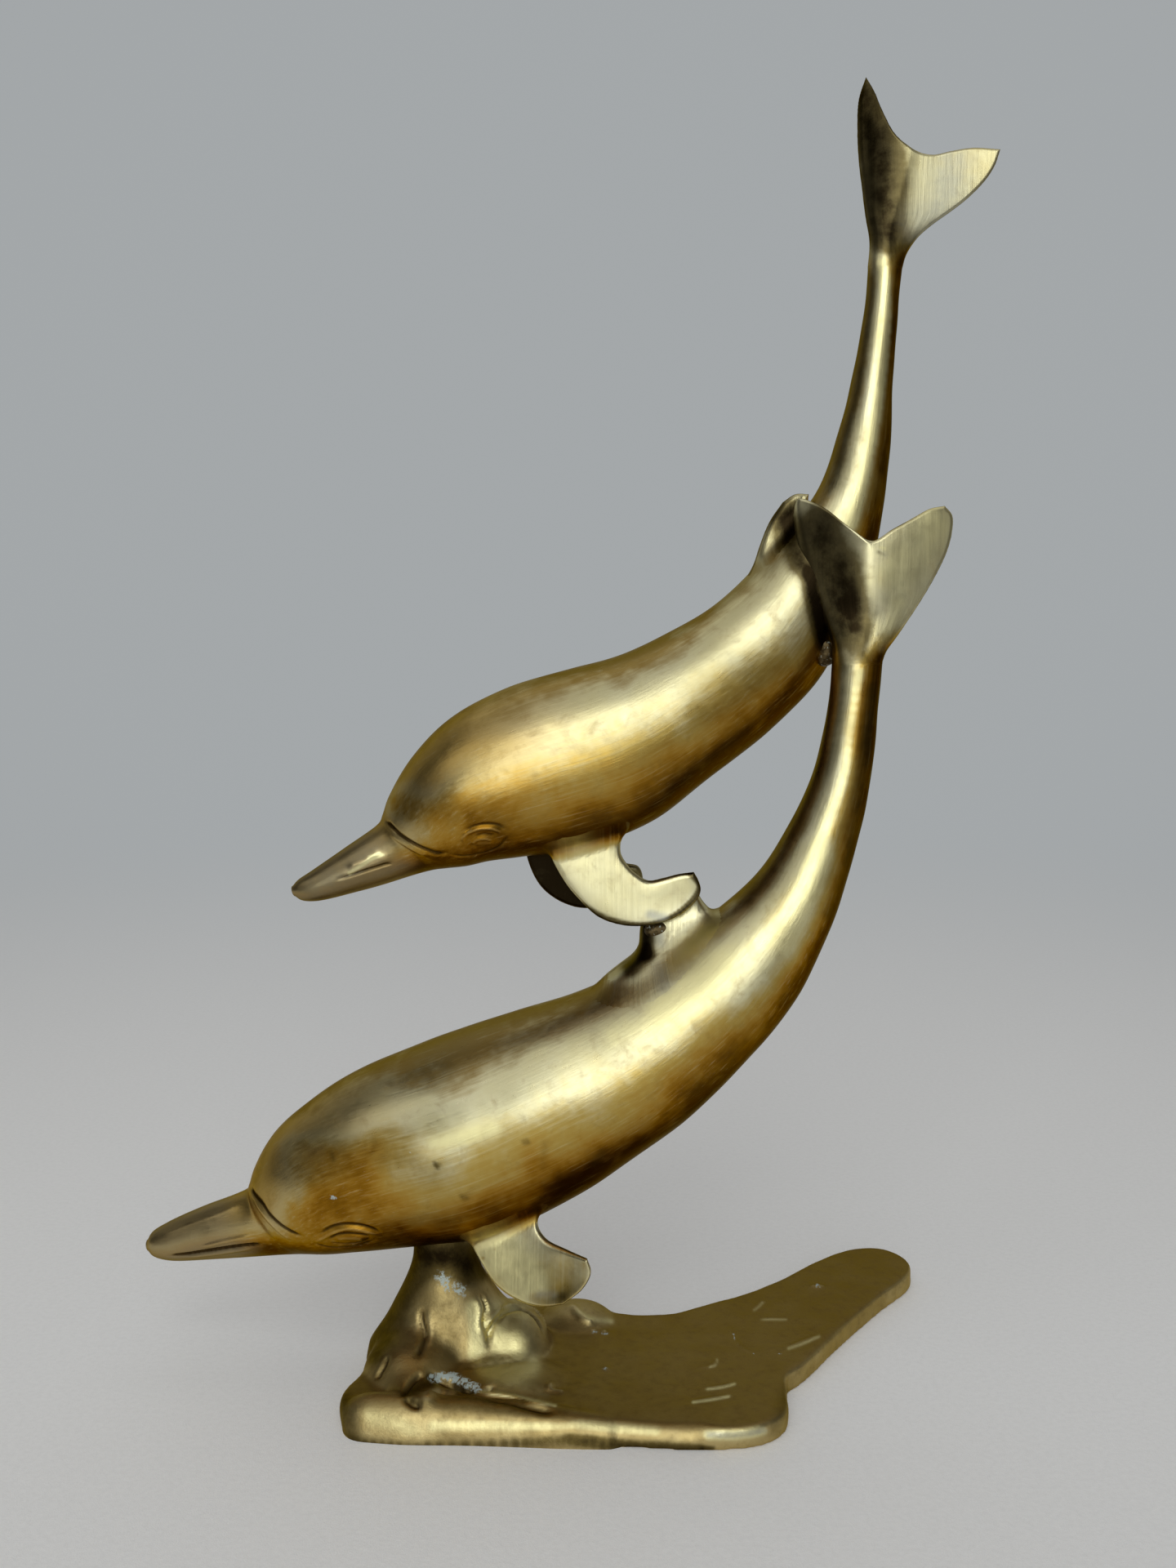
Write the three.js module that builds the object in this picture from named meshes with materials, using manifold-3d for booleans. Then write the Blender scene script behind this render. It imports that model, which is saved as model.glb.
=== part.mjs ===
// Brass sculpture of two leaping dolphins on a rocky base. Millimetres, +Z up.
// The dolphins swim towards -X and are looked at from -Y, which is their left side.
// The origin lies on the flat underside, between the rock and the tongue of the base plate.
import * as THREE from 'three';
import { mergeVertices } from 'three/addons/utils/BufferGeometryUtils.js';
import Module from 'manifold-3d';

const wasm = await Module();
wasm.setup();

// Clearances and walls
const BRAZE_GAP = 0.3; // left between two pieces that are brazed or seated on each other
const BODY_WALL = 4; // wall of the hollow bodies

// How each dolphin's mid-plane stands: its turn about Z and its place along Y
const LOWER_TURN = -3; // degrees, tail towards the viewer
const LOWER_Y = 0;
const UPPER_TURN = 8; // degrees, beak towards the viewer
const UPPER_Y = 4;

// Side view of each body as stations from the beak to the tail stock:
// back x, back z, belly x, belly z, half width
const LOWER_STATIONS = [
  [-153.4, 41.5, -152.9, 37.6, 2],
  [-151.6, 44.4, -150.6, 35.8, 4.2],
  [-146.5, 47.6, -145, 34.8, 6.2],
  [-132.7, 54.6, -127.5, 35.8, 8.2],
  [-118, 60.8, -102, 38.2, 11],
  [-116.8, 63.2, -94.9, 39.2, 14.5],
  [-114.6, 69.2, -86.7, 40, 19],
  [-107.8, 81.2, -76.6, 41.4, 24],
  [-95.4, 92.4, -66.4, 42.7, 27],
  [-79.5, 102.6, -53.3, 44.2, 29],
  [-55.4, 113.3, -31.1, 48.1, 30.5],
  [-25.8, 124, 1.5, 65.6, 30],
  [-2.2, 131.8, 26.5, 84, 27.5],
  [20, 142.8, 49.6, 105.4, 23.5],
  [41.2, 159.2, 69.6, 131.6, 19.5],
  [56, 173, 80, 154, 15.4],
  [66.8, 190, 87.6, 179.3, 11.6],
  [74.2, 209.2, 92.6, 204.5, 9],
  [78.3, 229.6, 94.2, 228.4, 7.8],
  [79.3, 242.2, 95.3, 242.2, 7.8],
];
const UPPER_STATIONS = [
  [-97.6, 170, -96.8, 166.6, 1.6],
  [-95.8, 172, -94.6, 165.2, 3.2],
  [-91.6, 174.8, -89.5, 164.8, 5],
  [-80.6, 182.2, -75.5, 168, 7],
  [-69.4, 190, -52.3, 174.2, 10],
  [-68, 192.8, -47.3, 175, 13.5],
  [-65.8, 198.8, -40.3, 175.8, 17.5],
  [-58.4, 211.6, -33.3, 177.2, 22],
  [-47, 223.2, -22.3, 178.2, 25],
  [-26.6, 234.2, -1.8, 180.8, 27],
  [-5.2, 240.2, 20.6, 189, 27.5],
  [13.8, 245.8, 43, 205.2, 26],
  [32, 254.4, 60.4, 219, 23],
  [50.2, 267.6, 75.6, 233.2, 19.5],
  [62.4, 280.2, 88.2, 254.8, 16],
  [71.4, 291.2, 94.8, 271, 13.2],
  [78.2, 301, 98.3, 289, 11],
  [83.8, 317, 101, 311.2, 8.8],
  [88.6, 338, 101.7, 336.2, 6.8],
  [91.7, 358, 102.8, 357.2, 5.6],
  [92.6, 370, 103.8, 370, 5.5],
];
const HOLLOW_STATIONS = [7, 16]; // first and last station of both bodies that are cast hollow
const BEAK_ROUNDING = 0.8; // how far the beak's tip stands out past the first station
const CAVITY_ROUNDING = 3; // the same for the head end of the hollow

// Edges of the fins, x and z, as seen from the viewer's side.
// lead and trail run from the root to the tip, and tip joins their ends.
// rootHalf, tipHalf and edgeHalf are half thicknesses; rootSide and tipSide say how far the fin
// stands off the dolphin's mid-plane.
const LOWER_DORSAL_FIN = {
  lead: [[1, 130], [4.6, 136.2], [9.6, 140.6], [14, 144.2], [16.7, 148], [17.8, 156], [23, 164.6],
    [28.6, 169.4]],
  tip: [[28.6, 169.4], [32.6, 171], [35.8, 168.8]],
  trail: [[50, 148], [45, 157.4], [41, 160.4], [38.2, 163.4], [36.6, 166.2], [35.8, 168.8]],
  rootHalf: 5,
  tipHalf: 2,
  edgeHalf: 1.4,
};
const UPPER_DORSAL_FIN = {
  lead: [[51, 262], [54.8, 271.4], [57.4, 280], [60.8, 288.4], [65.2, 294.8]],
  tip: [[65.2, 294.8], [69.4, 297.4], [73.8, 297.4]],
  trail: [[78, 284], [74.6, 286.6], [73, 290], [73.2, 294], [73.8, 297.4]],
  rootHalf: 3.6,
  tipHalf: 1.8,
  edgeHalf: 1.2,
};
const LOWER_LEFT_FLIPPER = {
  lead: [[-44, 62], [-40.4, 53], [-36, 46.2], [-29.2, 38], [-21, 34.4], [-13.4, 34.2], [-6.4, 36.6]],
  tip: [[-6.4, 36.6], [0, 42], [2.6, 47.4], [1.4, 52]],
  trail: [[-9, 68], [-14.4, 62.6], [-15.6, 57.6], [-12.6, 54.2], [-5.4, 52.8], [1.4, 52]],
  rootHalf: 3.6,
  tipHalf: 1.5,
  edgeHalf: 0.9,
  rootSide: 10,
  tipSide: 32,
};
const LOWER_RIGHT_FLIPPER = {
  lead: [[-44, 62], [-43, 50], [-39, 40], [-33, 31], [-27, 26]],
  tip: [[-27, 26], [-21, 24.5], [-16, 27], [-14, 32]],
  trail: [[-14, 64], [-19, 56], [-20.5, 48], [-19, 40], [-14, 32]],
  rootHalf: 3.6,
  tipHalf: 1.5,
  edgeHalf: 0.9,
  rootSide: 10,
  tipSide: 20,
};
const UPPER_LEFT_FLIPPER = {
  lead: [[-16, 192], [-14.4, 181.4], [-9.5, 171.6], [-4.7, 165.6], [1.3, 160], [8.1, 157.4],
    [14.8, 156.8], [22.7, 158.1], [28.5, 160.7]],
  tip: [[28.5, 160.7], [33.4, 165.1], [34.8, 168.6], [33.9, 172], [32.5, 174.5]],
  trail: [[17, 196], [10.4, 187.3], [8.9, 184], [9, 180.4], [11, 177], [13.9, 174], [17.8, 171.7],
    [22.7, 172.5], [27.6, 173.8], [32.5, 174.5]],
  rootHalf: 3,
  tipHalf: 1.6,
  edgeHalf: 1.2,
  rootSide: 11,
  tipSide: 14.8,
};
const UPPER_RIGHT_FLIPPER = {
  lead: [[-21, 190], [-19.4, 176], [-15.5, 166.7], [-10.5, 161.6], [-3.3, 158], [3, 157.2], [10, 158]],
  tip: [[10, 158], [17, 161], [20.8, 166.4], [19.4, 171.2], [15.4, 172.4]],
  trail: [[8, 192], [3, 182], [2.6, 176], [5.4, 171.4], [10, 170.6], [15.4, 172.4]],
  rootHalf: 3,
  tipHalf: 1.6,
  edgeHalf: 1.2,
  rootSide: 11,
  tipSide: 13,
};
const FIN_FLATNESS = 3.2; // 2 gives an even lens, more keeps the faces flat up to the edges

// Tail flukes: left and right run up the two leading edges from the tail stock, and top is the
// trailing edge from the left tip over the notch to the right tip. x and z are measured from the
// middle of the stock's end. ridge is how far the middle stands out towards the viewer, leftBack
// and rightBack how far the tips lie back; less than 0 brings a tip forward.
const LOWER_FLUKE = {
  left: [[-8, 6], [-10.2, 13], [-13.6, 21.5], [-17, 31], [-19.6, 41], [-20.8, 48]],
  top: [[-20.8, 48], [-19.4, 53.2], [-14.6, 52], [-10.4, 49.6], [-3.6, 44], [3.6, 39.6], [10.6, 43.4],
    [16.6, 46.6], [22.6, 49.8], [27.6, 50.8]],
  right: [[9.4, 4], [12.6, 8.6], [17.4, 15.8], [23.6, 26], [28.4, 36], [30.2, 44], [27.6, 50.8]],
  half: 2.4,
  edgeHalf: 0.9,
  ridge: 3,
  leftBack: 10,
  rightBack: 5,
};
const UPPER_FLUKE = {
  left: [[-4.7, 9.2], [-5.7, 17.4], [-6.5, 26.6], [-7.2, 35.2], [-7.3, 45.7], [-6.4, 56.3], [-3.7, 63.8]],
  top: [[-3.7, 63.8], [-2.1, 58.3], [-0.6, 50.6], [2.3, 42.7], [7.9, 37.6], [13.9, 36], [20.2, 37.2],
    [27, 38.2], [35.9, 37.7]],
  right: [[7, 5], [10.4, 10.2], [14.5, 13.9], [21.2, 18.7], [26.3, 22.7], [32.2, 28.4], [35.4, 32.7],
    [35.9, 37.7]],
  half: 2.2,
  edgeHalf: 0.8,
  ridge: 2.5,
  leftBack: 13,
  rightBack: -6,
};
const FLUKE_SPREAD = 1.4; // how sharply the lobes turn back beside the ridge
const FLUKE_SETTLE = 0.42; // share of the fluke's height over which the round stock flattens
const FLUKE_EDGE_SHARE = 0.5; // edge's share of the thickness where the fluke starts

// Base: plate outline on the table, x and y
const PLATE_OUTLINE = [[-79.5, -40], [-75, -50], [-40, -52], [-5, -53], [33, -57], [54, -54.5], [63, -46],
  [65, -32], [66.5, -22], [73, -14], [89, 11], [108, 38.5], [123, 59], [124, 70], [116, 81], [104, 81],
  [74, 54], [48, 33.5], [26, 24], [8, 26], [-16, 35], [-44, 36], [-65, 22], [-74, 2], [-75.5, -18],
  [-79, -30]];
const PLATE_THICK = 7.5;
const PLATE_BEVEL = 1.6;
// Rock sections: height, middle x, middle y, half length along x, half length along y
const ROCK_SECTIONS = [
  [1, -43, 1, 34, 24],
  [8, -44, 1.5, 31.5, 20.5],
  [18, -47, 2, 22.5, 17],
  [30, -48.6, 2.4, 14.6, 13.8],
  [40, -49, 2.6, 10.8, 11.4],
  [52, -49, 2.6, 11.6, 11.6],
];
// Rounded humps at the rock's foot: middle x, y, z and half lengths along x, y, z
const ROCK_HUMPS = [
  [-24, -1, 7, 11, 16, 14],
  [-4, 20, 3, 15, 14, 10],
  [-29, -24, 5.5, 25, 17, 5],
  [-57, -33, 7, 8.5, 7, 5.5],
  [-59, -15, 3, 17, 21, 15],
];
// Rolled rim along the front edge: middle x and y, half depth and height
const RIM = [
  [-70, -43, 8.6, 12.6],
  [-58, -44.4, 8.8, 13],
  [-40, -45.4, 8.2, 12.2],
  [-22, -47, 7.6, 11],
  [-8, -48.6, 7, 9.4],
  [6, -50, 6, 7.8],
];

// Fixing bolt, M8, in a pocket of the underside
const BOLT_X = -48.6; // along the lower dolphin's mid-plane
const BOLT_DIAMETER = 8;
const BOLT_HEAD_FLATS = 13;
const BOLT_HEAD_HEIGHT = 5.3;
const BOLT_HEAD_SIDES = 6;
const BOLT_OVERLAP = 1; // how far the shank is drawn into the head
const BOLT_ENGAGEMENT = 11; // length held in the boss
const BOLT_BORE_CLEARANCE = 0.4; // on the radius, in the rock, the belly and the washer
const WASHER_DIAMETER = 16;
const WASHER_THICK = 1.6;
const POCKET_ROOM = 4; // around the washer, for a socket spanner
const POCKET_DEPTH = 16;
const BOSS_WALL = 5; // around the bolt
const BOSS_CAP = 2; // metal left over the bolt's end
const BOSS_FOOT = 10; // how far below the hollow the boss is drawn before it is cut to the belly
const CUT_PAST = 5; // how far a cutter runs past the face it opens
const BELLY_STATION = 10; // the lower dolphin's station over the bolt
const PROBE_RADIUS = 0.5; // of the thin rod that finds the hollow's floor over the bolt

// Braze beads: middle x, y, z and half lengths along x, y, z
const DORSAL_BRAZE = [23.5, -4.6, 154.6, 6.5, 2.2, 4.8];
const TAIL_BRAZE = [77.8, 2.6, 245.4, 4.6, 6, 6];

// Facets
const BODY_SIDES = 28;
const BODY_STEPS = 2; // rings for each gap between two stations
const CAVITY_SIDES = 16;
const FIN_STEPS = [9, 9]; // across and along
const FLUKE_STEPS = [14, 9];
const PLATE_POINTS = 72;
const PLATE_BEVEL_STEPS = 2;
const ROCK_SIDES = 24;
const RIM_SIDES = 20;
const RIM_RINGS = 12;
const RIM_CAP_RINGS = 3;
const ELLIPSOID_SIDES = [20, 12];
const DISC_SIDES = 28;
const BORE_SIDES = 20;
const HALF_SPACE = 1000; // side of the box that cuts a body in half

const brass = { color: 0xb0924a, metalness: 1, roughness: 0.38 };
const baseBrass = { color: 0x857038, metalness: 1, roughness: 0.5 };
const brazeBrass = { color: 0x8c8468, metalness: 1, roughness: 0.6 };
const steel = { color: 0x8a8c8e, metalness: 1, roughness: 0.45 };

const { degToRad, lerp, clamp } = THREE.MathUtils;

// Curves through hand-set points

function smooth(points, closed = false) {
  return new THREE.CatmullRomCurve3(points, closed, 'centripetal');
}

function curveXZ(points) {
  return smooth(points.map(([x, z]) => new THREE.Vector3(x, 0, z)));
}

// Surface between four edge curves; u runs along bottom and top, v along left and right
function coonsPatch(bottom, top, left, right) {
  return (u, v) => {
    const point = new THREE.Vector3();
    point.addScaledVector(bottom.getPointAt(u), 1 - v);
    point.addScaledVector(top.getPointAt(u), v);
    point.addScaledVector(left.getPointAt(v), 1 - u);
    point.addScaledVector(right.getPointAt(v), u);
    point.addScaledVector(bottom.getPoint(0), -(1 - u) * (1 - v));
    point.addScaledVector(bottom.getPoint(1), -u * (1 - v));
    point.addScaledVector(top.getPoint(0), -(1 - u) * v);
    point.addScaledVector(top.getPoint(1), -u * v);
    return point;
  };
}

// Geometry of closed bodies

// Faces are turned outwards, whichever way round the points run
function indexedGeometry(points, triangles) {
  const volume = triangles.reduce((sum, [a, b, c]) => (
    sum + points[a].dot(points[b].clone().cross(points[c]))
  ), 0);
  const outwards = volume > 0 ? triangles : triangles.map(([a, b, c]) => [a, c, b]);
  const geometry = new THREE.BufferGeometry();
  geometry.setAttribute('position', new THREE.Float32BufferAttribute(points.flatMap((p) => p.toArray()), 3));
  geometry.setIndex(outwards.flat());
  return geometry;
}

// Loft through rings of equal counts, each end closed by a fan to a pole
function loft(rings, startPole, endPole) {
  const sides = rings[0].length;
  const points = rings.flat();
  const start = points.push(startPole) - 1;
  const end = points.push(endPole) - 1;
  const last = (rings.length - 1) * sides;
  const triangles = [];
  for (let i = 0; i < sides; i++) {
    const next = (i + 1) % sides;
    triangles.push([start, next, i], [end, last + i, last + next]);
    for (let ring = 0; ring < last; ring += sides) {
      triangles.push([ring + i, ring + next, ring + sides + next]);
      triangles.push([ring + i, ring + sides + next, ring + sides + i]);
    }
  }
  return indexedGeometry(points, triangles);
}

// Plate whose faces lie at y = middle(u, v) -/+ half(u, v) over a patch
function patchPlate(patch, middle, half, [across, along]) {
  const points = [];
  for (const side of [-1, 1]) {
    for (let j = 0; j <= along; j++) {
      for (let i = 0; i <= across; i++) {
        const u = (1 - Math.cos((Math.PI * i) / across)) / 2;
        const v = j / along;
        const point = patch(u, v);
        point.y = middle(u, v) + side * half(u, v);
        points.push(point);
      }
    }
  }
  const row = across + 1;
  const back = row * (along + 1);
  const triangles = [];
  for (let j = 0; j < along; j++) {
    for (let i = 0; i < across; i++) {
      const a = j * row + i;
      triangles.push([a, a + 1, a + row + 1], [a, a + row + 1, a + row]);
      const b = back + a;
      triangles.push([b, b + row + 1, b + 1], [b, b + row, b + row + 1]);
    }
  }
  const rim = [];
  for (let i = 0; i < across; i++) rim.push(i);
  for (let j = 0; j < along; j++) rim.push(j * row + across);
  for (let i = across; i > 0; i--) rim.push(along * row + i);
  for (let j = along; j > 0; j--) rim.push(j * row);
  rim.forEach((a, k) => {
    const b = rim[(k + 1) % rim.length];
    triangles.push([a, back + b, b], [a, back + a, back + b]);
  });
  return indexedGeometry(points, triangles);
}

// Solids

function solidFrom(geometry) {
  const bare = new THREE.BufferGeometry();
  bare.setAttribute('position', geometry.getAttribute('position'));
  if (geometry.index) bare.setIndex(geometry.index);
  const merged = mergeVertices(bare, 1e-4);
  const triVerts = [];
  const index = merged.index.array;
  for (let i = 0; i < index.length; i += 3) {
    const [a, b, c] = [index[i], index[i + 1], index[i + 2]];
    if (a !== b && b !== c && c !== a) triVerts.push(a, b, c);
  }
  return new wasm.Manifold(new wasm.Mesh({
    numProp: 3,
    vertProperties: new Float32Array(merged.getAttribute('position').array),
    triVerts: new Uint32Array(triVerts),
  }));
}

// The room a neighbour needs: its body pushed outwards by the gap
function seatFor(geometry) {
  const wider = geometry.clone();
  wider.computeVertexNormals();
  const position = wider.getAttribute('position');
  const normal = wider.getAttribute('normal');
  for (let i = 0; i < position.count; i++) {
    position.setXYZ(
      i,
      position.getX(i) + BRAZE_GAP * normal.getX(i),
      position.getY(i) + BRAZE_GAP * normal.getY(i),
      position.getZ(i) + BRAZE_GAP * normal.getZ(i),
    );
  }
  return solidFrom(wider);
}

function largestOf(solid) {
  return solid.decompose().reduce((best, other) => (other.volume() > best.volume() ? other : best));
}

function seated(geometry, ...seats) {
  return largestOf(seats.reduce((solid, seat) => solid.subtract(seat), solidFrom(geometry)));
}

function uprightCylinder({ x, y }, low, high, radius, sides) {
  const geometry = new THREE.CylinderGeometry(radius, radius, high - low, sides);
  geometry.rotateX(Math.PI / 2);
  geometry.translate(x, y, (low + high) / 2);
  return solidFrom(geometry);
}

function ellipsoid([x, y, z, halfX, halfY, halfZ]) {
  const geometry = new THREE.SphereGeometry(1, ...ELLIPSOID_SIDES);
  geometry.scale(halfX, halfY, halfZ);
  geometry.translate(x, y, z);
  return geometry;
}

function piece(name, solid, finish) {
  const { vertProperties, triVerts } = solid.getMesh();
  const geometry = new THREE.BufferGeometry();
  geometry.setAttribute('position', new THREE.BufferAttribute(vertProperties, 3));
  geometry.setIndex(new THREE.BufferAttribute(triVerts, 1));
  geometry.computeVertexNormals();
  const mesh = new THREE.Mesh(geometry, new THREE.MeshStandardMaterial(finish));
  mesh.name = name;
  return mesh;
}

// Dolphins. Each is drawn about the plane y = 0 and then put into its pose.

const lowerPose = { turn: LOWER_TURN, y: LOWER_Y };
const upperPose = { turn: UPPER_TURN, y: UPPER_Y };

function posed(geometry, pose) {
  geometry.rotateZ(degToRad(pose.turn));
  geometry.translate(0, pose.y, 0);
  return geometry;
}

function onMidPlane(x, pose) {
  return { x: x * Math.cos(degToRad(pose.turn)), y: pose.y + x * Math.sin(degToRad(pose.turn)) };
}

// Elliptical ring on a slanting section plane through the back and the belly
function bodyRing(back, belly, t, shrink, sides) {
  const top = back.getPoint(t);
  const bottom = belly.getPoint(t);
  const halfWidth = (top.y + bottom.y) / 2 - shrink;
  top.y = 0;
  bottom.y = 0;
  const middle = top.clone().add(bottom).multiplyScalar(0.5);
  const up = top.clone().sub(middle);
  up.setLength(up.length() - shrink);
  const ring = [];
  for (let i = 0; i < sides; i++) {
    const angle = (2 * Math.PI * i) / sides;
    const point = middle.clone().addScaledVector(up, Math.cos(angle));
    point.y = -halfWidth * Math.sin(angle);
    ring.push(point);
  }
  return { ring, middle };
}

function bodyLoft(stations, [first, last], shrink, sides, steps, rounding) {
  const back = smooth(stations.map(([x, z, , , half]) => new THREE.Vector3(x, half, z)));
  const belly = smooth(stations.map(([, , x, z, half]) => new THREE.Vector3(x, half, z)));
  const rings = [];
  for (let i = 0; i <= (last - first) * steps; i++) {
    rings.push(bodyRing(back, belly, (first + i / steps) / (stations.length - 1), shrink, sides));
  }
  const startPole = rings[0].middle.clone();
  startPole.x -= rounding;
  return loft(rings.map((r) => r.ring), startPole, rings[rings.length - 1].middle);
}

function dolphinBody(stations, pose) {
  const whole = [0, stations.length - 1];
  return posed(bodyLoft(stations, whole, 0, BODY_SIDES, BODY_STEPS, BEAK_ROUNDING), pose);
}

function dolphinCavity(stations, wall, pose) {
  return solidFrom(posed(bodyLoft(stations, HOLLOW_STATIONS, wall, CAVITY_SIDES, 1, CAVITY_ROUNDING), pose));
}

// Half of a hollow body, cut on the mid-plane; side is -1 for the left half and 1 for the right
function halfShell(body, cavity, side, pose) {
  const half = new THREE.BoxGeometry(HALF_SPACE, HALF_SPACE, HALF_SPACE);
  half.translate(0, (side * (HALF_SPACE + BRAZE_GAP)) / 2, 0);
  return solidFrom(body).subtract(cavity).intersect(solidFrom(posed(half, pose)));
}

// Share of the full thickness at u across a fin, from edge to edge
function finSection(u, flatness) {
  return Math.sqrt(Math.max(0, 1 - Math.abs(2 * u - 1) ** flatness));
}

// side is -1 for a left fin, 0 on the mid-plane, 1 for a right fin
function fin(shape, side, pose) {
  const { lead, tip, trail, rootHalf, tipHalf, edgeHalf, rootSide = 0, tipSide = 0 } = shape;
  const root = curveXZ([lead[0], trail[0]]);
  const patch = coonsPatch(root, curveXZ(tip), curveXZ(lead), curveXZ(trail));
  const middle = (u, v) => side * lerp(rootSide, tipSide, v);
  const half = (u, v) => lerp(edgeHalf, lerp(rootHalf, tipHalf, v), finSection(u, FIN_FLATNESS));
  return posed(patchPlate(patch, middle, half, FIN_STEPS), pose);
}

// Fluke that starts as the round end of the tail stock and spreads into two swept lobes
function fluke(shape, stations, pose) {
  const [backX, backZ, bellyX, bellyZ, stockHalf] = stations[stations.length - 1];
  const rootX = (backX + bellyX) / 2;
  const rootZ = (backZ + bellyZ) / 2 + BRAZE_GAP;
  const at = (points) => points.map(([x, z]) => [rootX + x, rootZ + z]);
  const stockLeft = [backX, rootZ];
  const stockRight = [bellyX, rootZ];
  const patch = coonsPatch(
    curveXZ([stockLeft, stockRight]),
    curveXZ(at(shape.top)),
    curveXZ([stockLeft, ...at(shape.left)]),
    curveXZ([stockRight, ...at(shape.right)]),
  );
  const middle = (u, v) => {
    const lobe = Math.abs(2 * u - 1) ** FLUKE_SPREAD;
    const back = u < 0.5 ? shape.leftBack : shape.rightBack;
    return v * (back * lobe - shape.ridge * (1 - lobe));
  };
  const half = (u, v) => {
    const settled = 1 - (1 - Math.min(1, v / FLUKE_SETTLE)) ** 2;
    const full = lerp(stockHalf, lerp(shape.half, shape.edgeHalf, v), settled);
    const edge = Math.min(shape.edgeHalf, full) * FLUKE_EDGE_SHARE;
    return lerp(edge, full, finSection(u, 2));
  };
  return posed(patchPlate(patch, middle, half, FLUKE_STEPS), pose);
}

// Base

function plate() {
  const corners = PLATE_OUTLINE.map(([x, y]) => new THREE.Vector3(x, y, 0));
  const outline = smooth(corners, true).getPoints(PLATE_POINTS);
  outline.pop();
  const shape = new THREE.Shape(outline.map((p) => new THREE.Vector2(p.x, p.y)));
  return solidFrom(new THREE.ExtrudeGeometry(shape, {
    depth: PLATE_THICK - PLATE_BEVEL,
    bevelThickness: PLATE_BEVEL,
    bevelSize: PLATE_BEVEL,
    bevelOffset: -PLATE_BEVEL,
    bevelSegments: PLATE_BEVEL_STEPS,
  }));
}

function rock() {
  const rings = ROCK_SECTIONS.map(([z, x, y, halfX, halfY]) => {
    const ring = [];
    for (let i = 0; i < ROCK_SIDES; i++) {
      const angle = (2 * Math.PI * i) / ROCK_SIDES;
      ring.push(new THREE.Vector3(x + halfX * Math.cos(angle), y + halfY * Math.sin(angle), z));
    }
    return ring;
  });
  const pole = ([z, x, y]) => new THREE.Vector3(x, y, z);
  return solidFrom(loft(rings, pole(ROCK_SECTIONS[0]), pole(ROCK_SECTIONS[ROCK_SECTIONS.length - 1])));
}

// Oval bar of changing size with rounded ends, half of it below the table
function rim() {
  const path = smooth(RIM.map(([x, y]) => new THREE.Vector3(x, y, 0)));
  const sizes = smooth(RIM.map(([, , halfDepth, height]) => new THREE.Vector3(halfDepth, height, 0)));
  const rings = [];
  const poles = [];
  for (let i = -RIM_CAP_RINGS; i <= RIM_RINGS + RIM_CAP_RINGS; i++) {
    const t = clamp(i / RIM_RINGS, 0, 1);
    const past = Math.max(-i, i - RIM_RINGS, 0) / (RIM_CAP_RINGS + 0.5);
    const along = path.getTangent(t);
    const across = new THREE.Vector3(-along.y, along.x, 0).normalize();
    const { x: halfDepth, y: height } = sizes.getPoint(t);
    const middle = path.getPoint(t).addScaledVector(along, Math.sign(i) * halfDepth * past);
    const share = Math.sqrt(1 - past ** 2);
    const ring = [];
    for (let k = 0; k < RIM_SIDES; k++) {
      const angle = (2 * Math.PI * k) / RIM_SIDES;
      const point = middle.clone().addScaledVector(across, halfDepth * share * Math.cos(angle));
      point.z = height * share * Math.sin(angle);
      ring.push(point);
    }
    rings.push(ring);
    poles.push(middle);
  }
  return solidFrom(loft(rings, poles[0], poles[poles.length - 1]));
}

// Bolt joint between the base and the lower dolphin's belly

const boltAxis = onMidPlane(BOLT_X, lowerPose);
const boreRadius = BOLT_DIAMETER / 2 + BOLT_BORE_CLEARANCE;
const lowerCavity = dolphinCavity(LOWER_STATIONS, BODY_WALL, lowerPose);
const upperCavity = dolphinCavity(UPPER_STATIONS, BODY_WALL, upperPose);

// Height at which the bolt's axis enters the hollow
const bodyBottom = lowerCavity.boundingBox().min[2];
const [, backHeight, , bellyHeight] = LOWER_STATIONS[BELLY_STATION];
const bodyMiddle = (backHeight + bellyHeight) / 2;
const probe = uprightCylinder(boltAxis, bodyBottom, bodyMiddle, PROBE_RADIUS, BORE_SIDES);
const bellyTop = probe.intersect(lowerCavity).boundingBox().min[2];
const boltTop = bellyTop + BOLT_ENGAGEMENT;
const washerTop = POCKET_DEPTH - BRAZE_GAP;
const washerLow = washerTop - WASHER_THICK;
const headTop = washerLow - BRAZE_GAP;
const bore = uprightCylinder(boltAxis, -CUT_PAST, bellyTop + CUT_PAST, boreRadius, BORE_SIDES);

function boltSolid() {
  const corner = BOLT_HEAD_FLATS / 2 / Math.cos(Math.PI / BOLT_HEAD_SIDES);
  const head = uprightCylinder(boltAxis, headTop - BOLT_HEAD_HEIGHT, headTop, corner, BOLT_HEAD_SIDES);
  return head.add(uprightCylinder(boltAxis, headTop - BOLT_OVERLAP, boltTop, BOLT_DIAMETER / 2, BORE_SIDES));
}

function washerSolid() {
  return uprightCylinder(boltAxis, washerLow, washerTop, WASHER_DIAMETER / 2, DISC_SIDES).subtract(bore);
}

function bossSolid() {
  const radius = BOLT_DIAMETER / 2 + BOSS_WALL;
  const block = uprightCylinder(boltAxis, bellyTop - BOSS_FOOT, boltTop + BOSS_CAP, radius, DISC_SIDES);
  const room = dolphinCavity(LOWER_STATIONS, BODY_WALL + BRAZE_GAP, lowerPose);
  const thread = BOLT_DIAMETER / 2 + BRAZE_GAP;
  const tapped = uprightCylinder(boltAxis, 0, boltTop + BRAZE_GAP, thread, BORE_SIDES);
  return block.intersect(room).subtract(tapped);
}

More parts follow.
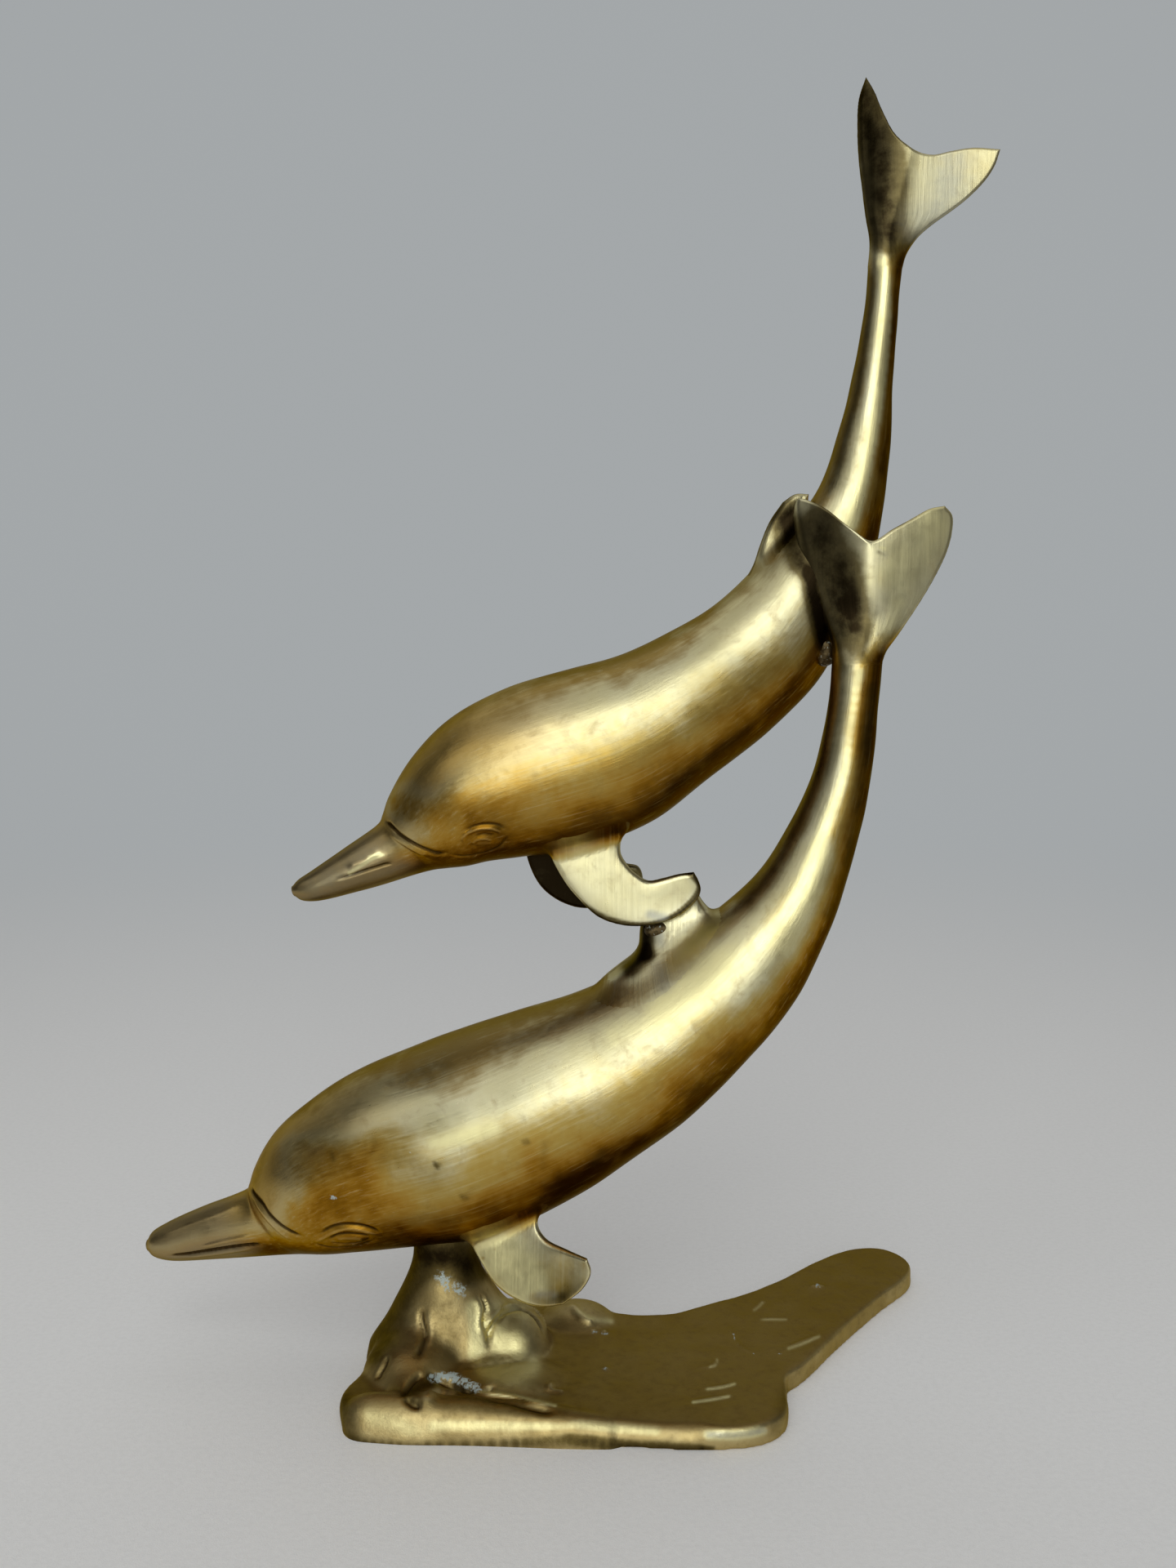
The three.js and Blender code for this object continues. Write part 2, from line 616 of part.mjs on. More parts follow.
function waveBase(bellySeat) {
  const belowTable = new THREE.BoxGeometry(HALF_SPACE, HALF_SPACE, HALF_SPACE);
  belowTable.translate(0, 0, -HALF_SPACE / 2);
  let base = plate().add(rock()).add(rim());
  for (const hump of ROCK_HUMPS) base = base.add(solidFrom(ellipsoid(hump)));
  const pocketRadius = WASHER_DIAMETER / 2 + POCKET_ROOM;
  return largestOf(base
    .subtract(solidFrom(belowTable))
    .subtract(bellySeat)
    .subtract(uprightCylinder(boltAxis, -CUT_PAST, POCKET_DEPTH, pocketRadius, DISC_SIDES))
    .subtract(bore));
}

// Assembly

const lowerBody = dolphinBody(LOWER_STATIONS, lowerPose);
const upperBody = dolphinBody(UPPER_STATIONS, upperPose);
const lowerSeat = seatFor(lowerBody);
const upperSeat = seatFor(upperBody);

const lowerDorsal = fin(LOWER_DORSAL_FIN, 0, lowerPose);
const lowerFluke = fluke(LOWER_FLUKE, LOWER_STATIONS, lowerPose);
const upperFluke = fluke(UPPER_FLUKE, UPPER_STATIONS, upperPose);
const upperLeftFlipper = fin(UPPER_LEFT_FLIPPER, -1, upperPose);
const upperRightFlipper = fin(UPPER_RIGHT_FLIPPER, 1, upperPose);
const lowerDorsalSeat = seatFor(lowerDorsal);
const dorsalBraze = seated(ellipsoid(DORSAL_BRAZE), seatFor(upperLeftFlipper), lowerDorsalSeat);
const tailBraze = seated(ellipsoid(TAIL_BRAZE), lowerSeat, upperSeat, seatFor(lowerFluke));

const sculpture = new THREE.Group();
sculpture.add(
  piece('wave_base', waveBase(lowerSeat), baseBrass),
  piece('base_bolt', boltSolid(), steel),
  piece('bolt_washer', washerSolid(), steel),
  piece('belly_boss', bossSolid(), brass),
  piece('lower_body_left', halfShell(lowerBody, lowerCavity, -1, lowerPose).subtract(bore), brass),
  piece('lower_body_right', halfShell(lowerBody, lowerCavity, 1, lowerPose).subtract(bore), brass),
  piece('lower_dorsal_fin', seated(lowerDorsal, lowerSeat), brass),
  piece('lower_flipper_left', seated(fin(LOWER_LEFT_FLIPPER, -1, lowerPose), lowerSeat), brass),
  piece('lower_flipper_right', seated(fin(LOWER_RIGHT_FLIPPER, 1, lowerPose), lowerSeat), brass),
  piece('lower_tail_fluke', seated(lowerFluke, upperSeat), brass),
  piece('upper_body_left', halfShell(upperBody, upperCavity, -1, upperPose), brass),
  piece('upper_body_right', halfShell(upperBody, upperCavity, 1, upperPose), brass),
  piece('upper_dorsal_fin', seated(fin(UPPER_DORSAL_FIN, 0, upperPose), upperSeat), brass),
  piece('upper_flipper_left', seated(upperLeftFlipper, upperSeat, lowerDorsalSeat), brass),
  piece('upper_flipper_right', seated(upperRightFlipper, upperSeat, lowerDorsalSeat), brass),
  piece('upper_tail_fluke', solidFrom(upperFluke), brass),
  piece('dorsal_braze', dorsalBraze, brazeBrass),
  piece('tail_braze', tailBraze, brazeBrass),
);

export default sculpture;
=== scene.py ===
import math

import bpy
import numpy as np
from mathutils.bvhtree import BVHTree
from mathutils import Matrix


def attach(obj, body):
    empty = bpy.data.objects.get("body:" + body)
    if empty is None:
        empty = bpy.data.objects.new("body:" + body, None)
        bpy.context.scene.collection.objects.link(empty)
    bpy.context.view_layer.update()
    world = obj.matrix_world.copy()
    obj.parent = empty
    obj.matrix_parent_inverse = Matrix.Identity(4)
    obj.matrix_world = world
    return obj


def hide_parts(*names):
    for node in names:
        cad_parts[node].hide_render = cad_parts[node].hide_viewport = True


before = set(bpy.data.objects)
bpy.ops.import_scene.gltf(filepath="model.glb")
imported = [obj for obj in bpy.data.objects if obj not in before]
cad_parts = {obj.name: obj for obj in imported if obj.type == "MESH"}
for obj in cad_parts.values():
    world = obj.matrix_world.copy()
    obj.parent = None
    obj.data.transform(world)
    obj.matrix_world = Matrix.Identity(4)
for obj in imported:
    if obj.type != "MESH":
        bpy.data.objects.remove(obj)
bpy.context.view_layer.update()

MM = 0.001

# Eye of the viewer. Picture coordinates are x and z on an upright sheet at y = SHEET_Y, as it sees them.
EYE = (0, -535, 272)
SHEET_Y = -45
CAMERA_PITCH = 7.41
LENS = 37.5
SENSOR_WIDTH = 36

# Side view of each body as stations from the beak to the tail stock:
# back x, back z, belly x, belly z, half width
LOWER_STATIONS = [
    (-153.4, 41.5, -152.9, 37.6, 2), (-151.6, 44.4, -150.6, 35.8, 4.2), (-146.5, 47.6, -145, 34.8, 6.2),
    (-132.7, 54.6, -127.5, 35.8, 8.2), (-118, 60.8, -102, 38.2, 11), (-116.8, 63.2, -94.9, 39.2, 14.5),
    (-114.6, 69.2, -86.7, 40, 19), (-107.8, 81.2, -76.6, 41.4, 24), (-95.4, 92.4, -66.4, 42.7, 27),
    (-79.5, 102.6, -53.3, 44.2, 29), (-55.4, 113.3, -31.1, 48.1, 30.5), (-25.8, 124, 1.5, 65.6, 30),
    (-2.2, 131.8, 26.5, 84, 27.5), (20, 142.8, 49.6, 105.4, 23.5), (41.2, 159.2, 69.6, 131.6, 19.5),
    (56, 173, 80, 154, 15.4), (66.8, 190, 87.6, 179.3, 11.6), (74.2, 209.2, 92.6, 204.5, 9),
    (78.3, 229.6, 94.2, 228.4, 7.8), (79.3, 242.2, 95.3, 242.2, 7.8),
]
UPPER_STATIONS = [
    (-97.6, 170, -96.8, 166.6, 1.6), (-95.8, 172, -94.6, 165.2, 3.2), (-91.6, 174.8, -89.5, 164.8, 5),
    (-80.6, 182.2, -75.5, 168, 7), (-69.4, 190, -52.3, 174.2, 10), (-68, 192.8, -47.3, 175, 13.5),
    (-65.8, 198.8, -40.3, 175.8, 17.5), (-58.4, 211.6, -33.3, 177.2, 22), (-47, 223.2, -22.3, 178.2, 25),
    (-26.6, 234.2, -1.8, 180.8, 27), (-5.2, 240.2, 20.6, 189, 27.5), (13.8, 245.8, 43, 205.2, 26),
    (32, 254.4, 60.4, 219, 23), (50.2, 267.6, 75.6, 233.2, 19.5), (62.4, 280.2, 88.2, 254.8, 16),
    (71.4, 291.2, 94.8, 271, 13.2), (78.2, 301, 98.3, 289, 11), (83.8, 317, 101, 311.2, 8.8),
    (88.6, 338, 101.7, 336.2, 6.8), (91.7, 358, 102.8, 357.2, 5.6), (92.6, 370, 103.8, 370, 5.5),
]
BEAK_ROUNDING = 0.7

# Tail flukes: left and right are the leading edges from the stock's end, top the trailing edge.
# x and z count from the middle of the stock's end. left_back and right_back are how far the lobes lie
# back, and ridge is how far the middle comes forward.
LOWER_FLUKE = {
    "left": [(-8, 6), (-10.2, 13), (-13.6, 21.5), (-17, 31), (-19.6, 41), (-20.8, 48)],
    "top": [(-20.8, 48), (-19.4, 53.2), (-14.6, 52), (-10.4, 49.6), (-3.6, 44), (3.6, 39.6), (10.6, 43.4),
            (16.6, 46.6), (22.6, 49.8), (27.6, 50.8)],
    "right": [(9.4, 4), (12.6, 8.6), (17.4, 15.8), (23.6, 26), (28.4, 36), (30.1, 43), (30, 47.8),
              (27.6, 50.8)],
    "half": 2.4, "edge_half": 1.1, "ridge": 3, "left_back": 10, "right_back": 5,
}
UPPER_FLUKE = {
    "left": [(-4.7, 9.2), (-5.7, 17.4), (-6.5, 26.6), (-7.2, 35.2), (-7.3, 45.7), (-6.4, 56.3),
             (-3.7, 63.8)],
    "top": [(-3.7, 63.8), (-2.1, 58.3), (-0.6, 50.6), (2.3, 42.7), (7.9, 37.6), (13.9, 36), (20.2, 37.2),
            (27, 38.2), (35.9, 37.7)],
    "right": [(7, 5), (10.4, 10.2), (14.5, 13.9), (21.2, 18.7), (26.3, 22.7), (31.9, 28.6), (34.5, 33),
              (35.9, 37.7)],
    "half": 2.2, "edge_half": 1.0, "ridge": 2.5, "left_back": 13, "right_back": -6,
}
FLUKE_SPREAD = 1.4
FLUKE_SETTLE = 0.42

# Fins: lead and trail run from the root to the tip, and tip joins their ends. root_y and tip_y are their
# distances from the mid-plane, to the left below 0. corner is 2 for a round edge and more for a squarer
# one, and flatness does the same for the sides. swell is how soon a fin thins, and start is where its
# rows begin, below 0 inside the body. What a fin doesn't say is as in FIN.
FIN = {"root_y": 0, "tip_y": 0, "corner": 2.4, "swell": 1, "start": -0.12, "flatness": 3.2,
       "root_flatness": 3.2}
LOWER_FINS = {
    "lower_dorsal_fin": FIN | {
        "lead": [(1, 130), (4.6, 136.2), (9.6, 140.6), (14, 144.2), (16.7, 148), (17.8, 156), (23, 164.6),
                 (28.6, 169.4)],
        "tip": [(28.6, 169.4), (32.6, 171), (35.8, 168.8)],
        "trail": [(50, 148), (45, 157.4), (41, 160.4), (38.2, 163.4), (36.6, 166.2), (35.8, 168.8)],
        "root_half": 15, "tip_half": 2.2, "edge_half": 1.8, "corner": 3.5, "fillet": 6, "swell": 1.3,
        "start": -0.4, "flatness": 4, "root_flatness": 2,
    },
    "lower_flipper_left": FIN | {
        "lead": [(-44, 62), (-40.4, 53), (-36, 46.2), (-29.2, 38), (-21, 34.4), (-13.4, 34.2),
                 (-6.4, 36.6)],
        "tip": [(-6.4, 36.6), (0, 42), (2.6, 47.4), (1.4, 52)],
        "trail": [(-9, 68), (-14.4, 62.6), (-15.6, 57.6), (-12.6, 54.2), (-5.4, 52.8), (1.4, 52)],
        "root_half": 3.6, "tip_half": 1.5, "edge_half": 1.2, "root_y": -10, "tip_y": -32, "fillet": 6,
    },
    "lower_flipper_right": FIN | {
        "lead": [(-44, 62), (-43, 50), (-39, 40), (-33, 31), (-27, 26)],
        "tip": [(-27, 26), (-21, 24.5), (-16, 27), (-14, 32)],
        "trail": [(-14, 64), (-19, 56), (-20.5, 48), (-19, 40), (-14, 32)],
        "root_half": 3.6, "tip_half": 1.5, "edge_half": 1.2, "root_y": 10, "tip_y": 20, "fillet": 6,
    },
}
UPPER_FINS = {
    "upper_dorsal_fin": FIN | {
        "lead": [(51, 262), (54.8, 271.4), (57.4, 280), (60.8, 288.4), (65.2, 294.8)],
        "tip": [(65.2, 294.8), (69.4, 297.4), (73.8, 297.4)],
        "trail": [(78, 284), (74.6, 286.6), (73, 290), (73.2, 294), (73.8, 297.4)],
        "root_half": 3.6, "tip_half": 1.8, "edge_half": 1.6, "fillet": 4,
    },
    "upper_flipper_left": FIN | {
        "lead": [(-16, 192), (-14.4, 181.4), (-9.5, 171.6), (-4.7, 165.6), (1.3, 160), (8.1, 157.4),
                 (14.8, 156.8), (22.7, 158.1), (28.5, 160.7)],
        "tip": [(28.5, 160.7), (33.4, 165.1), (34.8, 168.6), (33.9, 172), (32.5, 174.5)],
        "trail": [(17, 196), (10.4, 187.3), (8.9, 184), (9, 180.4), (11, 177), (13.9, 174), (17.8, 171.7),
                  (22.7, 172.5), (27.6, 173.8), (32.5, 174.5)],
        "root_half": 3, "tip_half": 1.6, "edge_half": 1.5, "root_y": -11, "tip_y": -17.5, "corner": 2.2,
        "fillet": 5,
    },
    "upper_flipper_right": FIN | {
        "lead": [(-21, 190), (-19.4, 176), (-15.5, 166.7), (-10.5, 161.6), (-3.3, 158), (3, 157.2),
                 (10, 158)],
        "tip": [(10, 158), (17, 161), (20.8, 166.4), (19.4, 171.2), (15.4, 172.4)],
        "trail": [(8, 192), (3, 182), (2.6, 176), (5.4, 171.4), (10, 170.6), (15.4, 172.4)],
        "root_half": 3, "tip_half": 1.6, "edge_half": 1.5, "root_y": 11, "tip_y": 13, "corner": 2.2,
        "fillet": 5,
    },
}
EDGE_FILLET = 2.5
FLAT_PUSH = 0.2  # sideways share below which a fin's skin is too level to be flared
BLEND_NORMAL = 0.6  # share of the fillet over which the normals run into the body's
BLEND_GIRTH = 1.2
EDGE_WEAR = -0.4
FIN_ROOT = 0.28  # share of a fin's height that has the closer rows of the root
FIN_FLATTENS = (-0.1, 0.35)  # shares of its height between which its sides go from root to blade
FIN_BRUSH = 300  # where the fins' brush marks count from, past the head's patina
# Shares of a fluke's height over which the fins' side, the lit flank's colour without the body's painted
# shade, and its own brush marks set in, and its wider marks and its edge wear
FLUKE_FIN_SIDE_AND_BRUSH = (0, 0.3)
FLUKE_WIDER = (0, 0.5)
FLUKE_WEAR = (0.05, 0.2)
FLUKE_BRUSH = 0.55  # pace of the brush marks across a fluke against the body's, which makes them wider

# Lines cut into or raised on the heads as seen from the side: width, rise and points
LOWER_LINES = [
    (0.8, -1.1, (-115.2, 64.3), (-112.9, 63.2), (-109, 61.9), (-106, 59.1), (-102.4, 56.3),
     (-98.7, 54.2), (-93.4, 52.3)),
    (0.7, 0.5, (-113, 61.4), (-108.8, 58.7), (-105.1, 55.5), (-101.2, 52.1), (-98, 50.4)),
    (0.8, 0.5, (-133.2, 42.3), (-126.1, 44.6), (-120.8, 46.1), (-113.5, 48.1)),
    (0.7, -0.9, (-144.8, 38.2), (-137.4, 39.4), (-126.4, 41.9), (-117.6, 43.7), (-109.1, 45.2)),
    (0.7, 0.4, (-140, 37.7), (-124.9, 40.5), (-112.9, 43.2)),
    (1.4, 0.3, (-150, 43.3), (-138, 49), (-127.1, 53.4), (-118.9, 57.5)),
    (0.8, -0.6, (-89, 52.9), (-84.6, 56.9), (-80, 58.9), (-74.2, 59.1), (-70, 57.7), (-66.8, 55.3)),
    (0.8, 0.7, (-90.7, 50.2), (-88.1, 52), (-84.6, 54.6), (-79.6, 57.2), (-75.2, 57.4), (-71, 56.2),
     (-67, 54.6)),
    (0.6, -0.7, (-85.9, 51.4), (-82.1, 54.2), (-78.2, 55.1), (-73.9, 54.8), (-70.4, 54.1)),
    (0.5, -0.5, (-85.3, 50.6), (-82, 50.2), (-77, 50.4), (-73, 51.8), (-70.4, 54.1)),
    (0.6, -0.6, (-90.7, 49.9), (-87.6, 48.4), (-83.9, 47.7), (-77.1, 48.7), (-72.8, 50.6), (-68.6, 53.3)),
    (1, 0.5, (-83.1, 52.4), (-79.3, 53.2), (-75.7, 53.2), (-72.8, 53)),
]
UPPER_LINES = [
    (0.8, -1.1, (-67.7, 191.9), (-66.2, 190.8), (-63.4, 188.1), (-60.1, 185.9), (-56.8, 184.2),
     (-53.9, 183.1), (-51.3, 182.3), (-47.2, 182.6)),
    (0.7, 0.35, (-66.5, 188.6), (-63.4, 186), (-60.1, 183.9), (-56.8, 182.2), (-53.9, 181.2)),
    (0.6, -0.6, (-84, 172.6), (-78, 174.6), (-73.2, 176.2), (-69.8, 177.2), (-67.4, 177.9), (-64.5, 178.4)),
    (1, 0.4, (-79.8, 176.7), (-76.9, 178.1), (-74.2, 179.1), (-72.1, 180.5), (-68.9, 181.8)),
    (0.7, -0.5, (-43.3, 189.5), (-40.2, 191.6), (-36.4, 192.6), (-32.2, 192.2), (-29, 190.1)),
    (0.7, 0.6, (-43.4, 186.4), (-42.7, 188.9), (-39.7, 190.7), (-36.4, 191.3), (-33, 190.9),
     (-30.1, 189.2)),
    (0.6, 0.45, (-39.9, 185.6), (-39.1, 187.1), (-36.2, 187.7), (-33.3, 187)),
    (0.6, -0.4, (-39.6, 188.6), (-36.2, 189.2), (-33, 188.5)),
    (0.6, -0.5, (-47.2, 182.3), (-42.9, 181.3), (-37.9, 181.8), (-32.5, 183.6), (-30.1, 186),
     (-29.3, 189.2)),
    (1.3, 0.3, (-39, 185.8), (-36, 186.1), (-33.4, 185.8)),
]
LINES_FROM = -200  # y from which the heads' lines are laid on, left of everything
LINE_FADE = 0.18  # share of a line over which each of its ends fades
LINE_STEPS = 60
MARK_STEPS = 40

LOWER = {"stations": LOWER_STATIONS, "turn": -3, "y": 0, "head_end": 9.6, "lines": LOWER_LINES}
UPPER = {"stations": UPPER_STATIONS, "turn": 8, "y": 4, "head_end": 8.6, "lines": UPPER_LINES}

# Uneven skin: height, wavelength and seed of each layer of waves
BODY_WAVES = ((0.22, 34, 5), (0.07, 13, 6))
BASE_WAVES = ((0.35, 40, 11), (0.12, 12, 12))
RIPPLE_WAVES = 7  # waves in each layer
CALM_BEAK = 12  # length of beak over which they set in
CALM_FOOT = (0.5, 4)  # heights between which they set in on the base

# Grids
BODY_SIDES = 236
HEAD_SPACING = 0.55
BODY_SPACING = 1.6
FACE_ANGLE = 122  # degrees from the back to the height of the eyes and the mouth
FACE_SPREAD = 30
FACE_DENSITY = 1.6
CAP_ROWS = 6
FLUKE_ROWS = 90
FIN_SIDES = 120
FIN_ROWS = 60
FIN_ROOT_ROWS = 56
OUTLINE_STEPS = 400
BEVEL_STEPS = 9
ROCK_ROWS = 30
OVAL_SIDES = 64
BALL_ROWS = 26
BALL_SIDES = 40
RIM_STEPS = 40
RIM_SIDES = 48
RIM_CAP_ROWS = 6

# Base: plate outline on the table, x and y
PLATE_OUTLINE = [
    (-79.5, -40), (-75, -50), (-40, -52), (-5, -53), (33, -57), (54, -54.5), (63, -46), (65, -32),
    (66.5, -22), (73, -14), (89, 11), (108, 38.5), (123, 59), (124, 70), (116, 81), (104, 81), (74, 54),
    (48, 33.5), (26, 24), (8, 26), (-16, 35), (-44, 36), (-65, 22), (-74, 2), (-75.5, -18), (-79, -30),
]
PLATE_THICK = 7.5
PLATE_BEVEL = 1.4
FRONT_BEVEL = 5.5
FRONT_DEPTH = (-40, -50)  # y over which the front's bevel sets in
FRONT_RIGHT = (44, 34)  # x over which it ends
# height, middle x, middle y, half length along x, half length along y
ROCK_SECTIONS = [
    (1, -43, 1, 34, 24), (8, -44, 1.5, 31.5, 20.5), (18, -47, 2, 22.5, 17), (30, -48.6, 2.4, 14.6, 13.8),
    (40, -49, 2.6, 10.8, 11.4), (52, -49, 2.6, 11.6, 11.6),
]
# Humps at the rock's foot: middle x, y, z and half lengths along x, y, z
ROCK_HUMPS = [
    (-24, -1, 7, 11, 16, 14), (-4, 20, 3, 15, 14, 10), (-29, -24, 5.5, 25, 17, 5),
    (-57, -33, 7, 8.5, 7, 5.5), (-59, -15, 3, 17, 21, 15),
]
# Rolled rim along the front edge: middle x and y, half depth and height
RIM = [
    (-70, -43, 8.6, 12.6), (-58, -44.4, 8.8, 13), (-40, -45.4, 8.2, 12.2), (-22, -47, 7.6, 11),
    (-8, -48.6, 7, 9.4), (6, -50, 6, 7.8),
]
# Grooves and ridges of the base in picture coordinates: width, rise and points
BASE_LINES = [
    (1.1, -1.3, (-51.7, 41.9), (-52.6, 38.4), (-51.8, 34.9), (-51.7, 31.4), (-53, 27.9), (-54.6, 24.7)),
    (1.6, 0.5, (-49.5, 41.3), (-50.1, 36.6), (-49.6, 32), (-50.8, 27.9)),
    (1.2, -1.1, (-63.5, 26.2), (-64.7, 22.7), (-66.4, 19.7), (-67, 17.4)),
    (0.9, -1.3, (-34.5, 46.8), (-32.7, 44.2), (-32, 41), (-32.8, 38.1), (-32.8, 35.5), (-31.7, 33.2),
     (-31.3, 27.6)),
    (1.2, 0.6, (-35.2, 44.7), (-34.1, 41.9), (-33.9, 36.6), (-33.3, 32.6)),
    (0.9, -1.5, (-31.3, 27.6), (-31, 32.6), (-29.6, 36.6), (-27.2, 39.7), (-24.2, 41.3), (-20.4, 41.2),
     (-17.1, 39), (-14.9, 35.5), (-13.8, 31.4)),
    (0.8, 1, (-32.8, 34.3), (-30.6, 37.5), (-28.3, 40.2), (-24.7, 42.3), (-20.3, 42.3), (-16.2, 40.2),
     (-14, 36.6), (-12.8, 32)),
    (1.3, 1.1, (-5.8, 43), (-3.3, 40.1), (-0.6, 37.5), (2.2, 36.6)),
    (1.2, -0.6, (-39.8, 21.8), (-35.9, 21.8), (-30.4, 22.7), (-24.3, 23.5), (-18.2, 24.1)),
    (1.4, -2.2, (-52, 19.7), (-48.1, 18.5), (-44.3, 16.5), (-39.3, 14.8), (-34.9, 13.6)),
    (1.2, -1.6, (-44.3, 17.7), (-41.8, 16.5), (-39.9, 15.1)),
    (1.2, -1.6, (-59.3, 11.8), (-57, 15.6), (-54.8, 18), (-52, 19.7)),
    (1.3, -1.5, (-58.2, 11.8), (-55.4, 9.2), (-53.2, 8.9)),
    (2.2, 1, (-52.1, 8.3), (-49.8, 13.3), (-45.4, 13.3), (-41, 12.4)),
    (0.9, 0.9, (-34.3, 13.3), (-29.9, 12.4), (-25.5, 11.8), (-20.5, 10.4), (-16.1, 8.9), (-9.4, 8.3)),
    (1.3, -1.2, (-34.9, 11.8), (-29.9, 10.7), (-24.4, 9.8), (-19.4, 8.3), (-14.4, 7.1), (-10, 6.5)),
    (1, 0.8, (-11.6, 16.8), (-12.2, 13.9), (-8.9, 13), (-7.5, 12.7)),
    (1.3, -1.3, (-32.1, 15.1), (-30.7, 13.6)),
    (0.9, 0.8, (0.4, 33.6), (2.6, 33.8)),
    (0.9, 0.8, (4.5, 34), (5.9, 33)),
    (1.2, 0.5, (4.8, 21), (6.7, 21)),
    (0.6, 0.4, (38.1, 14.6), (42.4, 15.4), (46.3, 16.2)),
    (0.6, 0.4, (33.6, 10.4), (39, 11.3), (45, 12.1)),
    (0.6, 0.4, (35.8, 21.9), (38.9, 21.9), (40.7, 23.9)),
    (0.8, 0.4, (63.4, 28.3), (68.1, 30.3), (73.6, 32.1)),
    (0.5, 0.3, (52.3, 40.8), (54, 42.7), (55.4, 43.9)),
    (0.6, 0.35, (44.3, 36), (45.7, 32), (48.3, 28.8), (52.2, 26.3)),
    (1.2, 0.6, (69.9, 48.7), (72.5, 48.2), (74.6, 48.7)),
    (0.5, 0.3, (55.1, 37.9), (62.8, 37.6)),
]
BOLT_PLACE = (-48.53, 2.54)
POCKET_RADIUS = 12
POCKET_DEPTH = 16
BORE_RADIUS = 4.4
DRILL_SPAN = (-5, 70)
BASE_FRONT = -56.98
BASE_VOXEL = 0.9
BASE_RELAX = 12  # rounds of smoothing on the whole base
ROCK_MELT = 60  # further rounds on the rock
ROCK_FOOT = 12  # height at which they have set in fully
